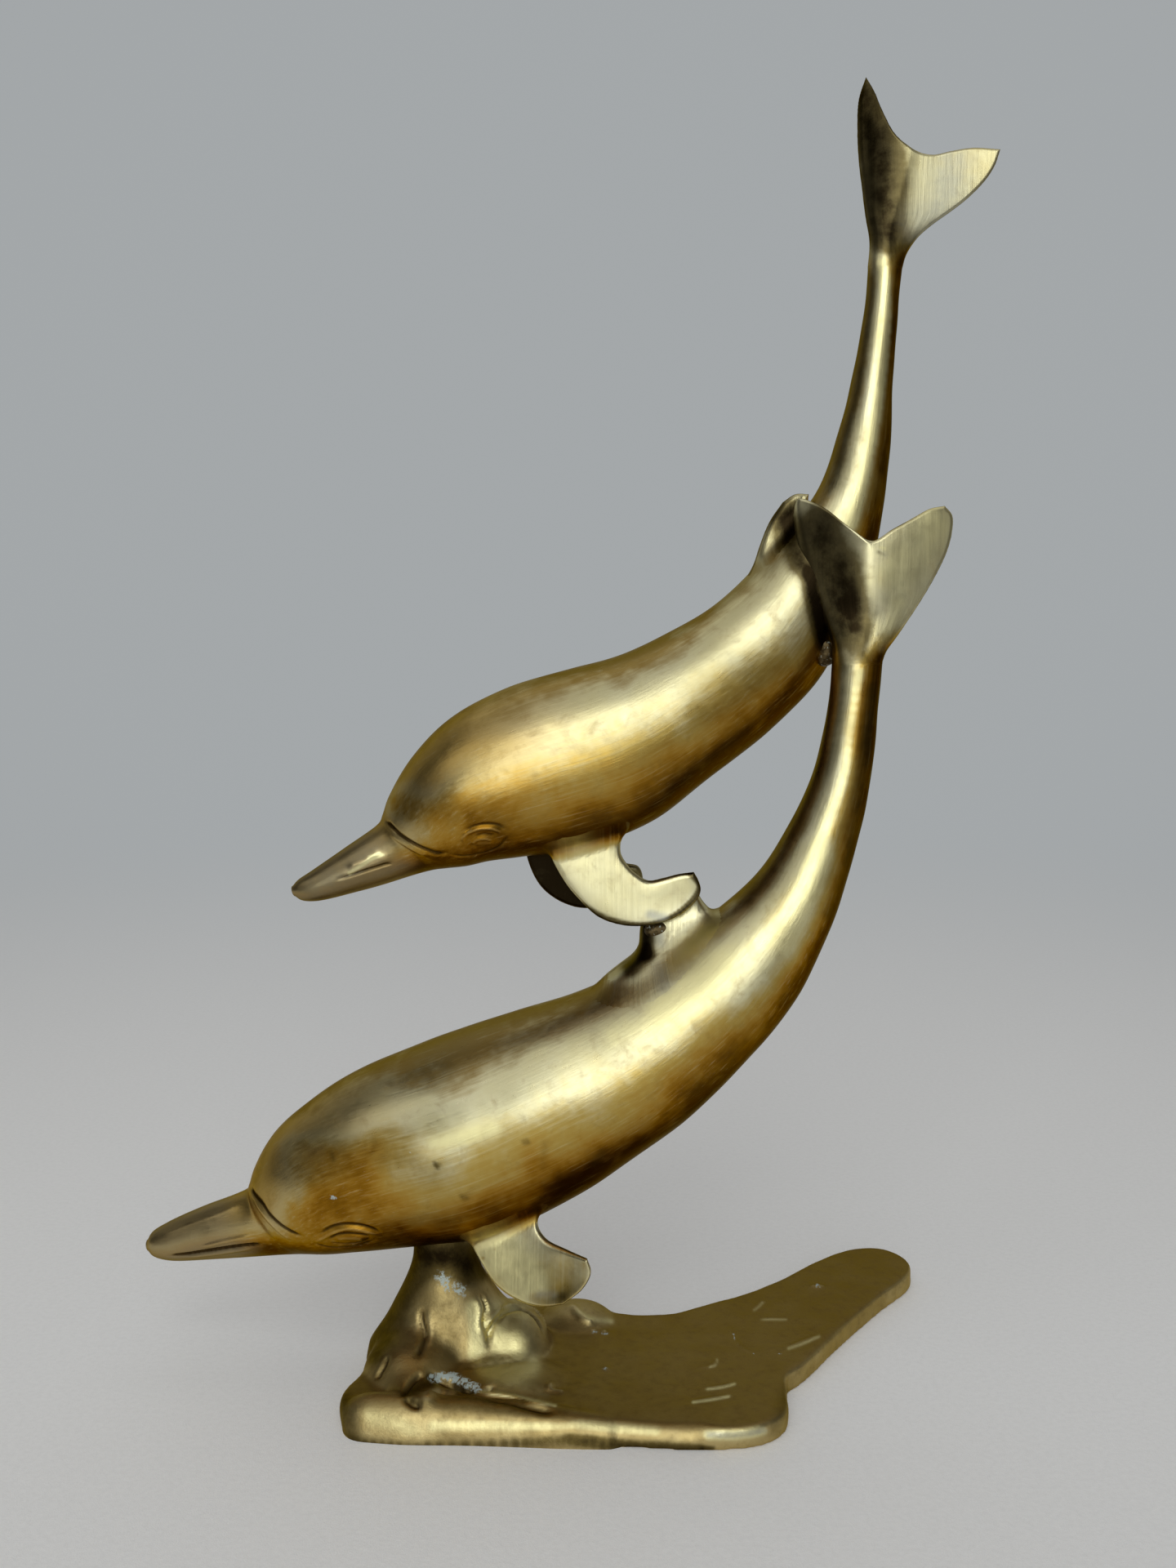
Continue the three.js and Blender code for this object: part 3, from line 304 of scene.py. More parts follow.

# Marks by piece, in picture coordinates: kind, width, amount and points. Most are painted light: painted
# shade, shadow and highlights; some are real wear, stains and verdigris. A tone is dark below 0 and pale
# above, a bloom is grey, green is verdigris, and amber is a painted warm reflection, partly real patina, or
# below 0 none of it, which paints the lit flank's paler colour as a painted highlight.
MARKS = {
    "lower_dorsal_fin": [
        # Painted shade on the front face, a painted shadow under the flipper, and a painted highlight on
        # the near face where the amber is taken away; the grey stains are real
        ("tone", 2.1, -2, (18, 165), (18, 161), (18, 156)),
        ("tone", 3, -1.3, (17, 155), (15, 153), (13, 151)),
        ("tone", 3, -0.5, (24, 163), (29, 164), (34, 167)),
        ("bloom", 2.2, 0.6, (21, 164), (22, 161), (22, 159)),
        ("amber", 13, -1, (22, 155), (30, 158), (40, 160)),
        ("tone", 6, 0.9, (37, 164), (32, 159), (41, 157)),
        ("bloom", 3.6, 0.6, (22, 151), (23, 146)),
    ],
    "lower": [
        # Painted highlights along the lit flank, the head and the tail stock, painted warm reflection on
        # the cheeks, painted shade on the back, the stock and the fluke's left lobe, and a painted shadow
        # at the top of the back; the small dark pits, grey stains and verdigris spots are real
        ("amber", 12, -1, (20, 150), (33, 153), (46, 156)),
        ("amber", 9, -0.8, (3, 128), (20, 137), (35, 144), (49, 153)),
        ("tone", 5, 0.5, (46, 155), (34, 143), (23, 137), (8, 130)),
        ("bloom", 3.6, 0.6, (22, 151), (23, 146)),
        ("amber", 2.6, 1, (13, 144), (15, 138)),
        ("tone", 2.4, -0.3, (13, 144), (15, 138)),
        ("tone", 2.4, -1, (1, 149), (8, 150), (16, 152)),
        ("tone", 7, 0.6, (38, 153), (33, 148), (25, 141)),
        ("tone", 7, -0.3, (66, 165), (60, 150), (47, 129), (33, 114)),
        ("tone", 3.4, 0.8, (-48, 95), (-41, 97), (-30, 100)),
        ("tone", 9, -0.4, (-64, 92), (-56, 90), (-48, 87)),
        ("amber", 9, 0.9, (-89, 92), (-75, 90), (-61, 95)),
        ("tone", 7, 0.25, (-89, 94), (-81, 97), (-74, 98)),
        ("amber", 5, -0.9, (71, 186), (67, 172), (61, 158)),
        ("tone", 5, 0.75, (71, 186), (67, 172), (61, 158)),
        ("tone", 5.4, -0.55, (75, 242), (74, 220), (66, 204), (58, 185), (49, 172)),
        ("tone", 2.2, 1, (81, 242), (79, 225), (77, 209), (72, 196), (68, 183), (61, 169), (51, 158)),
        ("tone", 3, -0.6, (85, 236), (82, 209), (79, 187), (73, 169)),
        ("amber", 10, 1, (-82, 73), (-69, 74), (-54, 75)),
        ("tone", 0.8, -1, (-47.4, 88.6), (-46.9, 88)),
        ("tone", 1, -0.6, (-39.1, 78.2), (-38.3, 77.4)),
        ("tone", 1.2, -0.6, (-79.9, 92.3), (-79.5, 90.2)),
        ("tone", 1, -0.8, (-19.6, 96.2), (-19.1, 95.5)),
        ("tone", 1.6, -0.3, (-13.5, 95.5), (-13.5, 93.3)),
        ("tone", 1.8, -0.3, (-14, 90.4), (-14, 87.5)),
        ("tone", 2, -0.5, (2, 89), (4, 92)),
        ("green", 0.7, 0.9, (-80.7, 77.9), (-79.2, 77.7)),
        ("green", 0.4, 0.6, (-55.7, 92.8), (-55.5, 92.5)),
        ("green", 0.4, 0.6, (-59.1, 88.8), (-58.9, 88.6)),
        ("tone", 8.2, -1.6, (68, 286), (69, 282), (72, 274), (75, 265), (77, 256)),
        ("tone", 4, -0.4, (78, 274), (79, 268), (79, 264)),
        ("tone", 3.6, -0.4, (79, 262), (81, 255), (82, 248)),
        ("tone", 3, 0.5, (92, 262), (90, 256), (87, 250)),
        ("tone", 0.9, -0.7, (86.4, 277.8), (88.3, 276.8)),
        ("tone", 0.6, 0.7, (86.8, 279), (88, 278.7)),
        ("bloom", 9, 0.3, (94, 284), (97, 277), (90, 264)),
        ("tone", 7, 0.8, (102, 286), (97, 278), (92, 271)),
        ("tone", 3, 0.6, (62, 293), (64, 291)),
    ],
    "upper": [
        # Painted warm reflection on the cheek, a painted shadow where the lower dolphin's fluke covers the
        # body, painted shade on the fluke's left lobe and beside a painted highlight along the tail stock,
        # and painted shade on the beak
        ("amber", 8, 0.9, (-57, 202), (-42, 198), (-20, 199)),
        ("tone", 3.6, -1.7, (60, 284), (61, 280), (63, 275)),
        ("tone", 2.7, -2.4, (66, 271), (68, 262), (71, 251)),
        ("tone", 3.8, -0.6, (82, 356), (81, 338), (78, 320), (73, 298)),
        ("tone", 2.1, 1.3, (85, 361), (87, 348), (86, 331), (84, 315), (81, 298), (78, 286)),
        ("tone", 2.4, -0.45, (90, 352), (90, 331), (89, 310), (87, 294)),
        ("bloom", 6, 0.3, (-83, 177), (-72, 183), (-63, 189)),
        ("tone", 7, -0.55, (-83, 176), (-72, 182), (-63, 186)),
        ("tone", 7, -0.35, (-40, 200), (-10, 195), (17, 204), (44, 223)),
        ("tone", 1.1, 1.3, (-72.7, 180.9), (-67.6, 184.2), (-63.6, 186.8)),
        ("tone", 0.8, 1, (-66.6, 186), (-62.1, 186.5)),
        ("tone", 9, -0.25, (-54, 216), (-49, 223)),
        ("tone", 8, -1.7, (79, 407), (82, 398), (85, 389), (86, 380), (86, 372)),
        ("tone", 4, -0.4, (88, 368), (88, 365)),
        ("tone", 5, 0.3, (97, 385), (95, 377)),
        ("bloom", 9, 0.55, (105, 388), (104, 381), (99, 373)),
    ],
    "upper_dorsal_fin": [
        # Painted shadow on the fin's near face
        ("tone", 5.4, -2.4, (60, 287), (62, 280), (64, 273), (68, 267)),
    ],
    "upper_flipper_right": [
        # Painted shadow over the far flipper
        ("tone", 14, -2.2, (-20, 193), (-12, 183), (-5, 176), (2, 173)),
    ],
    "upper_flipper_left": [
        ("tone", 7, 0.4, (-5, 191), (2, 181), (11, 174), (22, 173), (29, 176)),
        ("bloom", 2, 0.7, (19, 168), (23, 167)),
        ("tone", 1.3, -1.6, (-1.5, 170.3), (6, 166.5), (15.2, 164.5), (23.7, 166.2), (31.2, 171.6),
         (34.1, 176.9), (31.4, 180.7)),
        ("tone", 0.8, -1.4, (18.9, 178.9), (24.9, 180.2), (31.1, 181.2)),
    ],
    "lower_flipper_left": [
        # Painted highlight and painted warm reflection over its face, with darker patches
        ("tone", 9, 1.1, (-29, 60), (-23, 54), (-19, 49)),
        ("amber", 14, 0.6, (-29, 61), (-21, 53), (-8, 50)),
        ("tone", 5, -0.5, (-4, 57), (-4, 53), (-6, 49)),
        ("tone", 2.2, -0.9, (-17, 45), (-13, 44), (-8, 45)),
        ("bloom", 2, 0.5, (-15, 46), (-11, 46)),
        ("tone", 0.7, -0.7, (-29.2, 60.8), (-29, 60.6)),
        ("tone", 0.7, -0.7, (-33.1, 58.1), (-32.9, 57.9)),
    ],
    "base": [
        # Painted shadow on the column's top, painted shade down the rock's left flank and along the rim's
        # foot, painted highlights on the rock's right side and along the rim; the fine pale scratches, dark
        # pits and verdigris are real
        ("tone", 7, -1.8, (-53, 61), (-49, 59), (-43, 58), (-38, 56)),
        ("green", 3.2, 0.65, (-46, 52), (-44, 49), (-40, 47)),
        ("tone", 6.5, -0.95, (-57, 50), (-62, 39), (-68, 27)),
        ("tone", 5, -0.5, (-46, 42), (-44, 34), (-43, 26)),
        ("tone", 3.2, 0.9, (-36, 42), (-35, 34), (-36, 26)),
        ("tone", 7, 1, (-26, 38), (-25, 31), (-24, 23)),
        ("tone", 3, 0.45, (-33, 21), (-26, 20), (-18, 22)),
        ("green", 1.9, 1, (-49.3, 17.9), (-43.6, 18.5), (-39.4, 16.8), (-35.3, 14.6)),
        ("tone", 2, -0.9, (-58, 12), (-54, 15), (-50, 16)),
        ("tone", 1.6, -0.5, (-44.1, 13.5), (-35.8, 11.3), (-20.8, 9.4)),
        ("tone", 0.8, 0.8, (-34.3, 13.5), (-23.4, 11.6), (-10.4, 8.6)),
        ("tone", 3, 0.25, (-30, 16), (-21, 15), (-14, 13)),
        ("tone", 4, -0.8, (-78, 10), (-77, 3), (-76, -3)),
        ("tone", 4, 0.45, (-70, 5), (-62, 3), (-56, 0)),
        ("tone", 2.8, -0.6, (-55, 10), (-42, 9), (-26, 7), (-8, 5)),
        ("tone", 2.2, 0.7, (-49, 2), (-21, 2), (-5, 2), (21, 0)),
        ("tone", 2.4, -0.6, (-5, -2), (10, -4), (26, -5), (35, -6)),
        ("tone", 1.7, 1.2, (38.6, -1.1), (48.2, -1.1), (56, 0.3)),
        ("bloom", 1.7, 0.6, (38.6, -1.1), (48.2, -1.1), (56, 0.3)),
        ("tone", 2.4, -0.9, (-74, -4), (-52, -5), (-21, -4), (-5, -3), (16, -6), (34, -7)),
        ("tone", 3, -0.5, (59, 1), (62, 7), (63, 13)),
        ("tone", 3, -0.5, (69, 5), (75, 17), (88, 28), (101, 42)),
        ("tone", 1, -1, (36.5, -5.8), (39.7, -5.8)),
        ("tone", 1.2, 0.5, (-3.6, 40.3), (0.5, 38.1), (7.2, 37)),
        ("tone", 0.6, 0.7, (37.9, 14.3), (42.6, 14.9), (46.4, 16)),
        ("tone", 0.6, 0.7, (33.5, 9.9), (39.5, 10.8), (44.9, 11.9)),
        ("tone", 0.7, 0.5, (63.6, 28), (68.3, 29.7), (72.9, 31.9)),
        ("tone", 0.6, 0.4, (52.6, 40.8), (53.9, 41.9), (55.1, 43.3)),
        ("tone", 0.5, 0.4, (55, 37.6), (62.5, 37.6)),
        ("tone", 0.5, 0.5, (38.6, 21.8), (40.4, 22.3), (40.9, 24.2)),
        ("green", 0.7, 0.8, (1.5, 33.5), (2.6, 33.5)),
        ("green", 0.7, 0.8, (4.7, 33.2), (5.7, 33)),
        ("green", 0.5, 0.6, (46, 33), (46.3, 31.1)),
        ("green", 0.5, 0.6, (47.6, 29.1), (48.1, 28.6)),
        ("green", 0.6, 0.6, (52, 26.1), (52.5, 26.1)),
        ("green", 0.5, 0.6, (60, 26.1), (61.3, 26.1)),
        ("green", 0.8, 0.8, (5.4, 21.2), (6, 20.7)),
        ("green", 0.9, 0.7, (72.3, 49), (72.8, 48.4)),
    ],
}
MARK_KINDS = ("tone", "bloom", "green", "amber")
AMBER_GIRTH = -0.25  # side of a body, between back 1 and belly -1, whose colour amber marks give: a painted warm reflection, partly real patina
FIN_GIRTH = 0.45  # side of a body whose colour the fins and flukes take: the lit flank, pale and almost free of the painted shade by side

# Braze beads: middle and half lengths
DORSAL_BRAZE = ((23.5, -5.8, 154.6), (6.5, 3.2, 4.8))
TAIL_BRAZE = ((77.8, 2.6, 245.4), (4.6, 6, 6))
BEAD_SHARE = 0.75  # share of these lengths that a bead is drawn with
BEAD_LUMPS = (0.07, 4)  # height as a share of the bead, and wavelength

# Colours of the bodies' brass
GOLD = (0.71, 0.64, 0.35)
PALE_GOLD = (0.79, 0.74, 0.47)
STREAK_GOLD = (0.82, 0.74, 0.44)
SCRATCH_GOLD = (0.87, 0.80, 0.52)
RIDGE_GOLD = (0.72, 0.50, 0.18)
# OLIVE, AMBER, BELLY_BROWN and BACK_BROWN are laid on by the side of a body: olive as painted shade below
# the lit flank, amber as a painted warm reflection on the lower side, partly real patina, belly brown as
# painted shade on the belly and back brown as painted shade on the back. HEAD_BROWN is a patina that is
# laid on more thickly towards the head's back as painted shade.
OLIVE = (0.55, 0.39, 0.10)
AMBER = (0.43, 0.20, 0.009)
HEAD_BROWN = (0.50, 0.31, 0.06)
BEAK_BROWN = (0.38, 0.30, 0.16)
BACK_BROWN = (0.32, 0.205, 0.045)
BLOTCH_BROWN = (0.30, 0.18, 0.035)
BELLY_BROWN = (0.09, 0.036, 0.004)
GROOVE_BLACK = (0.05, 0.026, 0.006)
BRASS_EDGE = (0.60, 0.50, 0.28)  # tint of all the brass where it is seen almost edge-on

# Colours of the base, the beads and the steel
BASE_GOLD = (0.58, 0.46, 0.21)
BASE_BROWN = (0.44, 0.33, 0.13)
BASE_BLOTCH = (0.17, 0.11, 0.035)
BASE_GROOVE = (0.07, 0.042, 0.012)
BASE_RIDGE = (0.68, 0.56, 0.29)
PLATE_BROWN = (0.235, 0.152, 0.042)
BRAZE_BROWN = (0.17, 0.125, 0.06)
BRAZE_BLACK = (0.05, 0.034, 0.016)
BRAZE_CRUST = (0.42, 0.46, 0.40)
STEEL_LIGHT = (0.50, 0.51, 0.52)
STEEL_DARK = (0.34, 0.33, 0.32)

# Colours of the marks: the pale one mostly a painted highlight, partly real wear; the dark one mostly
# painted shade; the black one mostly painted shadow
PALE_MARK = (0.92, 0.84, 0.43)
DARK_MARK = (0.09, 0.062, 0.015)
BLACK_MARK = (0.012, 0.007, 0.003)
GREY_BLOOM = (0.42, 0.42, 0.35)
VERDIGRIS = (0.48, 0.56, 0.54)

# Floor and room, in metres. The room is grey all round: way from its front, 0, to its back, 1, and grey.
FLOOR_LIGHT = (0.84, 0.83, 0.81)
FLOOR_DARK = (0.80, 0.79, 0.77)
FLOOR_REACH = 9
FLOOR_FADE = (0.25, 1.3)  # distances between which the floor fades into the room
FLOOR_GLOW = 0.12
ROOM_FRONT = (0.22, 0.22, 0.22)
ROOM_SIDES = ((0.25, 0.07), (0.6, 0.07), (0.85, 0.28))
ROOM_BACK = (0.37, 0.39, 0.40)

# Lamps in metres: place, target, size, power and colour
LAMPS = {
    "window": ((-0.05, -2.0, 1.8), (-0.05, 0, 1.8), (1.45, 3.6), 32, (0.97, 1, 1)),
    "side_window": ((-1.4, -1.3, 1.9), (0, 0, 0.2), (1.4, 1.4), 3.4, (1, 1, 1)),
    "ceiling": ((0, 0.1, 1.5), (0, 0.1, 0), (1.6, 1.6), 3.4, (1, 1, 1)),
}


# Curves and surfaces

def smooth(points, closed=False):
    """Centripetal curve through the points, as a function of t from 0 to 1."""
    points = np.asarray(points, float)
    if closed:
        padded = np.vstack([points[-1:], points, points[:2]])
        spans = len(points)
    else:
        padded = np.vstack([2 * points[0] - points[1], points, 2 * points[-1] - points[-2]])
        spans = len(points) - 1
    gaps = np.linalg.norm(np.diff(padded, axis=0), axis=1) ** 0.5

    def at(t):
        place = np.clip(np.asarray(t, float), 0, 1) * spans
        span = np.minimum(place.astype(int), spans - 1)
        w = (place - span)[..., None]
        p0, p1, p2, p3 = (padded[span + k] for k in range(4))
        g0, g1, g2 = (gaps[span + k][..., None] for k in range(3))
        m1 = ((p1 - p0) / g0 - (p2 - p0) / (g0 + g1) + (p2 - p1) / g1) * g1
        m2 = ((p2 - p1) / g1 - (p3 - p1) / (g1 + g2) + (p3 - p2) / g2) * g1
        return p1 + m1 * w + (3 * (p2 - p1) - 2 * m1 - m2) * w**2 + (2 * (p1 - p2) + m1 + m2) * w**3

    return at


def even_pace(curve):
    """The same curve, run through at an even pace."""
    t = np.linspace(0, 1, 201)
    steps = np.linalg.norm(np.diff(curve(t), axis=0), axis=1)
    way = np.concatenate([[0], np.cumsum(steps)])
    return lambda u: curve(np.interp(u, way / way[-1], t))


def coons_patch(bottom, top, left, right):
    """Surface between four edge curves; u runs along bottom and top, v along left and right."""
    b, t, l, r = (even_pace(curve) for curve in (bottom, top, left, right))

    def at(u, v):
        a, c = u[..., None], v[..., None]
        edges = b(u) * (1 - c) + t(u) * c + l(v) * (1 - a) + r(v) * a
        corners = b(0.0) * (1 - a) * (1 - c) + b(1.0) * a * (1 - c) + t(0.0) * (1 - a) * c + t(1.0) * a * c
        return edges - corners

    return at


def unit(vectors):
    return vectors / np.maximum(np.linalg.norm(vectors, axis=-1, keepdims=True), 1e-12)


def lerp(a, b, share):
    return a + (b - a) * share


def soft_step(low, high, value):
    share = np.clip((value - low) / (high - low), 0, 1)
    return share * share * (3 - 2 * share)


def full_turn(sides):
    return np.linspace(0, 2 * math.pi, sides, endpoint=False)


def ripple(points, wavelength, seed):
    """Gentle unevenness between -1 and 1, the same at each run."""
    chance = np.random.default_rng(seed)
    total = np.zeros(points.shape[:-1])
    for _ in range(RIPPLE_WAVES):
        direction = chance.normal(size=3)
        direction /= np.linalg.norm(direction)
        pitch = wavelength * chance.uniform(0.7, 1.5)
        phase = chance.uniform(0, 2 * math.pi)
        total += np.sin(points @ direction * (2 * math.pi / pitch) + phase)
    return total * 2 / RIPPLE_WAVES


def waves(points, layers):
    """Unevenness of a skin in layers of height, wavelength and seed."""
    return sum(height * ripple(points, wavelength, seed) for height, wavelength, seed in layers)


def posed(points, dolphin):
    turn = math.radians(dolphin["turn"])
    x, y = points[..., 0], points[..., 1]
    placed = np.array(points, float)
    placed[..., 0] = x * math.cos(turn) - y * math.sin(turn)
    placed[..., 1] = x * math.sin(turn) + y * math.cos(turn) + dolphin["y"]
    return placed


# Meshes

def grid_faces(rows, sides):
    index = np.arange(rows * sides).reshape(rows, sides)
    near, far = index[:-1], index[1:]
    quads = np.stack([near, np.roll(near, -1, 1), np.roll(far, -1, 1), far], -1)
    return quads.reshape(-1, 4)


def grid_normals(grid):
    points = grid.reshape(-1, 3)
    a, b, c, d = grid_faces(*grid.shape[:2]).T
    facing = np.cross(points[c] - points[a], points[d] - points[b])
    normals = np.zeros_like(points)
    for corner in (a, b, c, d):
        np.add.at(normals, corner, facing)
    return unit(normals).reshape(grid.shape)


def grid_tree(grid):
    return BVHTree.FromPolygons(grid.reshape(-1, 3).tolist(), grid_faces(*grid.shape[:2]).tolist())


def set_attributes(mesh, values):
    for key, array in values.items():
        kind, field = ("FLOAT", "value") if array.ndim == 1 else ("FLOAT_VECTOR", "vector")
        attribute = mesh.attributes.new(key, kind, "POINT")
        attribute.data.foreach_set(field, array.astype(np.float32).ravel())


def in_scene(name, data):
    item = bpy.data.objects.new(name, data)
    bpy.context.scene.collection.objects.link(item)
    return item


def mesh_object(name, points, faces, attributes=None, normals=None):
    mesh = bpy.data.meshes.new(name)
    mesh.from_pydata((points * MM).tolist(), [], faces)
    mesh.shade_smooth()
    set_attributes(mesh, attributes or {})
    mesh.validate()
    if normals is not None:
        mesh.normals_split_custom_set_from_vertices(normals.tolist())
    return in_scene(name, mesh)


def closed_grid(name, grid, start, end, attributes, normals):
    """Closed mesh of a grid of rings. start and end are poles, or end is None for an edge that closes
    by laying its two sides together."""
    rows, sides = grid.shape[:2]
    last = (rows - 1) * sides
    pole = rows * sides
    around = np.arange(sides)
    quads = grid_faces(rows, sides)
    if end is None:
        weld = np.arange(rows * sides)
        weld[last + around] = last + np.where(around > sides // 2, sides - around, around)
        quads = weld[quads]
    faces = [[a for k, a in enumerate(quad) if a != quad[k - 1]] for quad in quads.tolist()]
    ring = list(zip(around.tolist(), np.roll(around, -1).tolist()))
    faces += [[pole, b, a] for a, b in ring]
    if end is not None:
        faces += [[pole + 1, last + a, last + b] for a, b in ring]
    faces = [face for face in faces if len(face) > 2]

    poles = [start] if end is None else [start, end]
    points = np.vstack([grid.reshape(-1, 3), *poles])
    normals = np.vstack([normals.reshape(-1, 3), np.zeros((len(poles), 3))])
    used = np.unique(np.concatenate(faces))
    place = np.zeros(len(points), int)
    place[used] = np.arange(len(used))
    faces = [place[face].tolist() for face in faces]
    values = {}
    for key, array in attributes.items():
        flat = array.reshape(rows * sides, -1).squeeze()
        ends = [flat[:1], flat[-1:]][:len(poles)]
        values[key] = np.concatenate([flat, *ends])[used]
    return mesh_object(name, points[used], faces, values, normals[used])


def lines_on(tree, lines, from_eye=False):
    """The lines laid onto a surface, level from the left or as the eye sees them: width, rise, path."""
    laid = []
    for width, rise, *corners in lines:
        path = []
        for x, z in smooth(corners)(np.linspace(0, 1, LINE_STEPS)):
            start, aim = (x, LINES_FROM, z), (0, 1, 0)
            if from_eye:
                start, aim = EYE, np.array([x, SHEET_Y, z]) - EYE
            hit = tree.ray_cast(start, aim)[0]
            if hit:
                path.append(hit)
        laid.append((width, rise, np.array(path)))
    return laid


def near_path(points, path, reach):
    """Which points are within reach of the path, and their distances from each point of it."""
    near = np.flatnonzero(((points > path.min(0) - reach) & (points < path.max(0) + reach)).all(1))
    return near, np.linalg.norm(points[near, None] - path[None], axis=2)


def relief_at(points, laid):
    """Height that the laid lines add at each point. They fade out towards their ends."""
    height = np.zeros(len(points))
    for width, rise, path in laid:
        near, gaps = near_path(points, path, 4 * width)
        nearest = gaps.argmin(1)
        end = np.minimum(nearest, len(path) - 1 - nearest) / (len(path) * LINE_FADE)
        height[near] += rise * soft_step(-0.1, 1, end) * np.exp(-((gaps.min(1) / width) ** 2))
    return height


def marks_on(piece, points, normals):
    """Amount of each kind of mark at each point, on the side that the eye sees."""
    eye = np.array(EYE)
    to_eye = eye - points
    share = (SHEET_Y - eye[1]) / (points[:, 1] - eye[1])
    places = (eye - to_eye * share[:, None])[:, [0, 2]]
    facing = soft_step(-0.1, 0.15, (unit(to_eye) * normals).sum(1))
    amounts = np.zeros((len(points), len(MARK_KINDS)))
    for kind, width, amount, *corners in MARKS.get(piece, []):
        path = smooth(corners)(np.linspace(0, 1, MARK_STEPS))
        near, gaps = near_path(places, path, 2 * width)
        amounts[near, MARK_KINDS.index(kind)] += amount * np.exp(-((gaps.min(1) / width) ** 2))
    return amounts * facing[:, None]


# Dolphins, drawn about the plane y = 0 and then put into their pose

def ring_angles():
    """Angles round a body, closer together at the height of the eyes and the mouth."""
    fine = np.linspace(0, 2 * math.pi, 3601)
    left = (fine - math.radians(FACE_ANGLE)) / math.radians(FACE_SPREAD)
    right = (2 * math.pi - fine - math.radians(FACE_ANGLE)) / math.radians(FACE_SPREAD)
    density = 1 + FACE_DENSITY * (np.exp(-(left**2)) + np.exp(-(right**2)))
    count = np.concatenate([[0], np.cumsum((density[1:] + density[:-1]) / 2)])
    half = np.interp(np.linspace(0, count[-1] / 2, BODY_SIDES // 2 + 1), count, fine)
    return np.concatenate([half, 2 * math.pi - half[-2:0:-1]])


ANGLES = ring_angles()


def body_rings(stations, t, angles):
    back = smooth([(x, half, z) for x, z, _, _, half in stations])(t)
    belly = smooth([(x, half, z) for _, _, x, z, half in stations])(t)
    half = (back[:, 1] + belly[:, 1]) / 2
    back[:, 1] = 0
    belly[:, 1] = 0
    middle = (back + belly) / 2
    rings = middle[:, None, :] + (back - middle)[:, None, :] * np.cos(angles)[None, :, None]
    rings[:, :, 1] = -half[:, None] * np.sin(angles)[None, :]
    return rings


def ring_places(dolphin):
    """Where the rings stand between the first and the last station, closer together on the head."""
    stations = dolphin["stations"]
    t = np.linspace(0, 1, 3001)
    outline = body_rings(stations, t, np.array([0, math.pi]))
    steps = np.linalg.norm(np.diff(outline, axis=0), axis=2).max(1)
    place = (t[1:] + t[:-1]) / 2 * (len(stations) - 1)
    behind_head = soft_step(dolphin["head_end"] - 1, dolphin["head_end"] + 1, place)
    count = np.concatenate([[0], np.cumsum(steps / lerp(HEAD_SPACING, BODY_SPACING, behind_head))])
    return np.interp(np.linspace(0, count[-1], round(count[-1]) + 1), count, t)


def dolphin_grid(dolphin):
    """Rings of the body in its own frame with its relief, and the values that its finish needs."""
    rings = body_rings(dolphin["stations"], ring_places(dolphin), ANGLES)
    first = rings[0]
    middle = (first[0] + first[len(ANGLES) // 2]) / 2
    cap = []
    for turn in (np.arange(CAP_ROWS) + 0.5) / CAP_ROWS * math.pi / 2:
        ring = middle + (first - middle) * math.sin(turn)
        ring[:, 0] -= BEAK_ROUNDING * math.cos(turn)
        cap.append(ring)
    grid = np.concatenate([cap, rings])
    spine = grid.mean(1)
    way = np.concatenate([[0], np.cumsum(np.linalg.norm(np.diff(spine, axis=0), axis=1))])
    reach = np.linalg.norm(grid[:, 0] - spine, axis=1)
    girth = np.cos(ANGLES)[None].repeat(len(grid), 0)
    brush = np.stack([way[:, None].repeat(len(ANGLES), 1), reach[:, None] * girth, grid[:, :, 1]], -1)
    flat = grid.reshape(-1, 3)
    left_side = np.stack([flat[:, 0], -np.abs(flat[:, 1]), flat[:, 2]], -1)
    relief = relief_at(left_side, lines_on(grid_tree(grid), dolphin["lines"])).reshape(girth.shape)
    uneven = waves(flat, BODY_WAVES).reshape(girth.shape) * soft_step(0, CALM_BEAK, way)[:, None]
    grid = grid + grid_normals(grid) * (relief + uneven)[..., None]
    return grid, brush, relief, girth, way[-1]


def edge_rounding(points, edges, radius, corner):
    """Share of the thickness at each point, falling to nothing over the radius at the edges."""
    flat = points.reshape(-1, 3)[:, [0, 2]]
    border = np.concatenate([edge(np.linspace(0, 1, 300)) for edge in edges])[:, [0, 2]]
    gaps = [np.linalg.norm(part[:, None] - border[None], axis=2).min(1)
            for part in np.array_split(flat, math.ceil(len(flat) / 4000))]
    into = np.clip(np.concatenate(gaps).reshape(points.shape[:2]) / radius, 0, 1)
    return (1 - (1 - into) ** corner) ** (1 / corner)


def blade(patch, edges, middle, half, edge_half, corner, rows, angles):
    """Rings of a fin or fluke from its root to its outer edge, and their wear."""
    v = rows[:, None].repeat(len(angles), 1)
    u = ((1 - np.cos(angles)) / 2)[None].repeat(len(rows), 0)
    inner = np.maximum(v, 0)
    grid = patch(u, inner)
    step = 0.08
    onward = (patch(u, inner * 0) - patch(u, inner * 0 + step)) / step
    grid += onward * np.maximum(-v, 0)[..., None]
    side = np.where(angles <= math.pi, -1, 1)[None]
    rounding = edge_rounding(grid, edges, edge_half, corner)
    grid[:, :, 1] = middle(u, inner) + side * half(u, v, rounding)
    return grid, EDGE_WEAR * (1 - soft_step(0.3, 0.8, rounding))


def curve_xz(points):
    return smooth([(x, 0, z) for x, z in points])


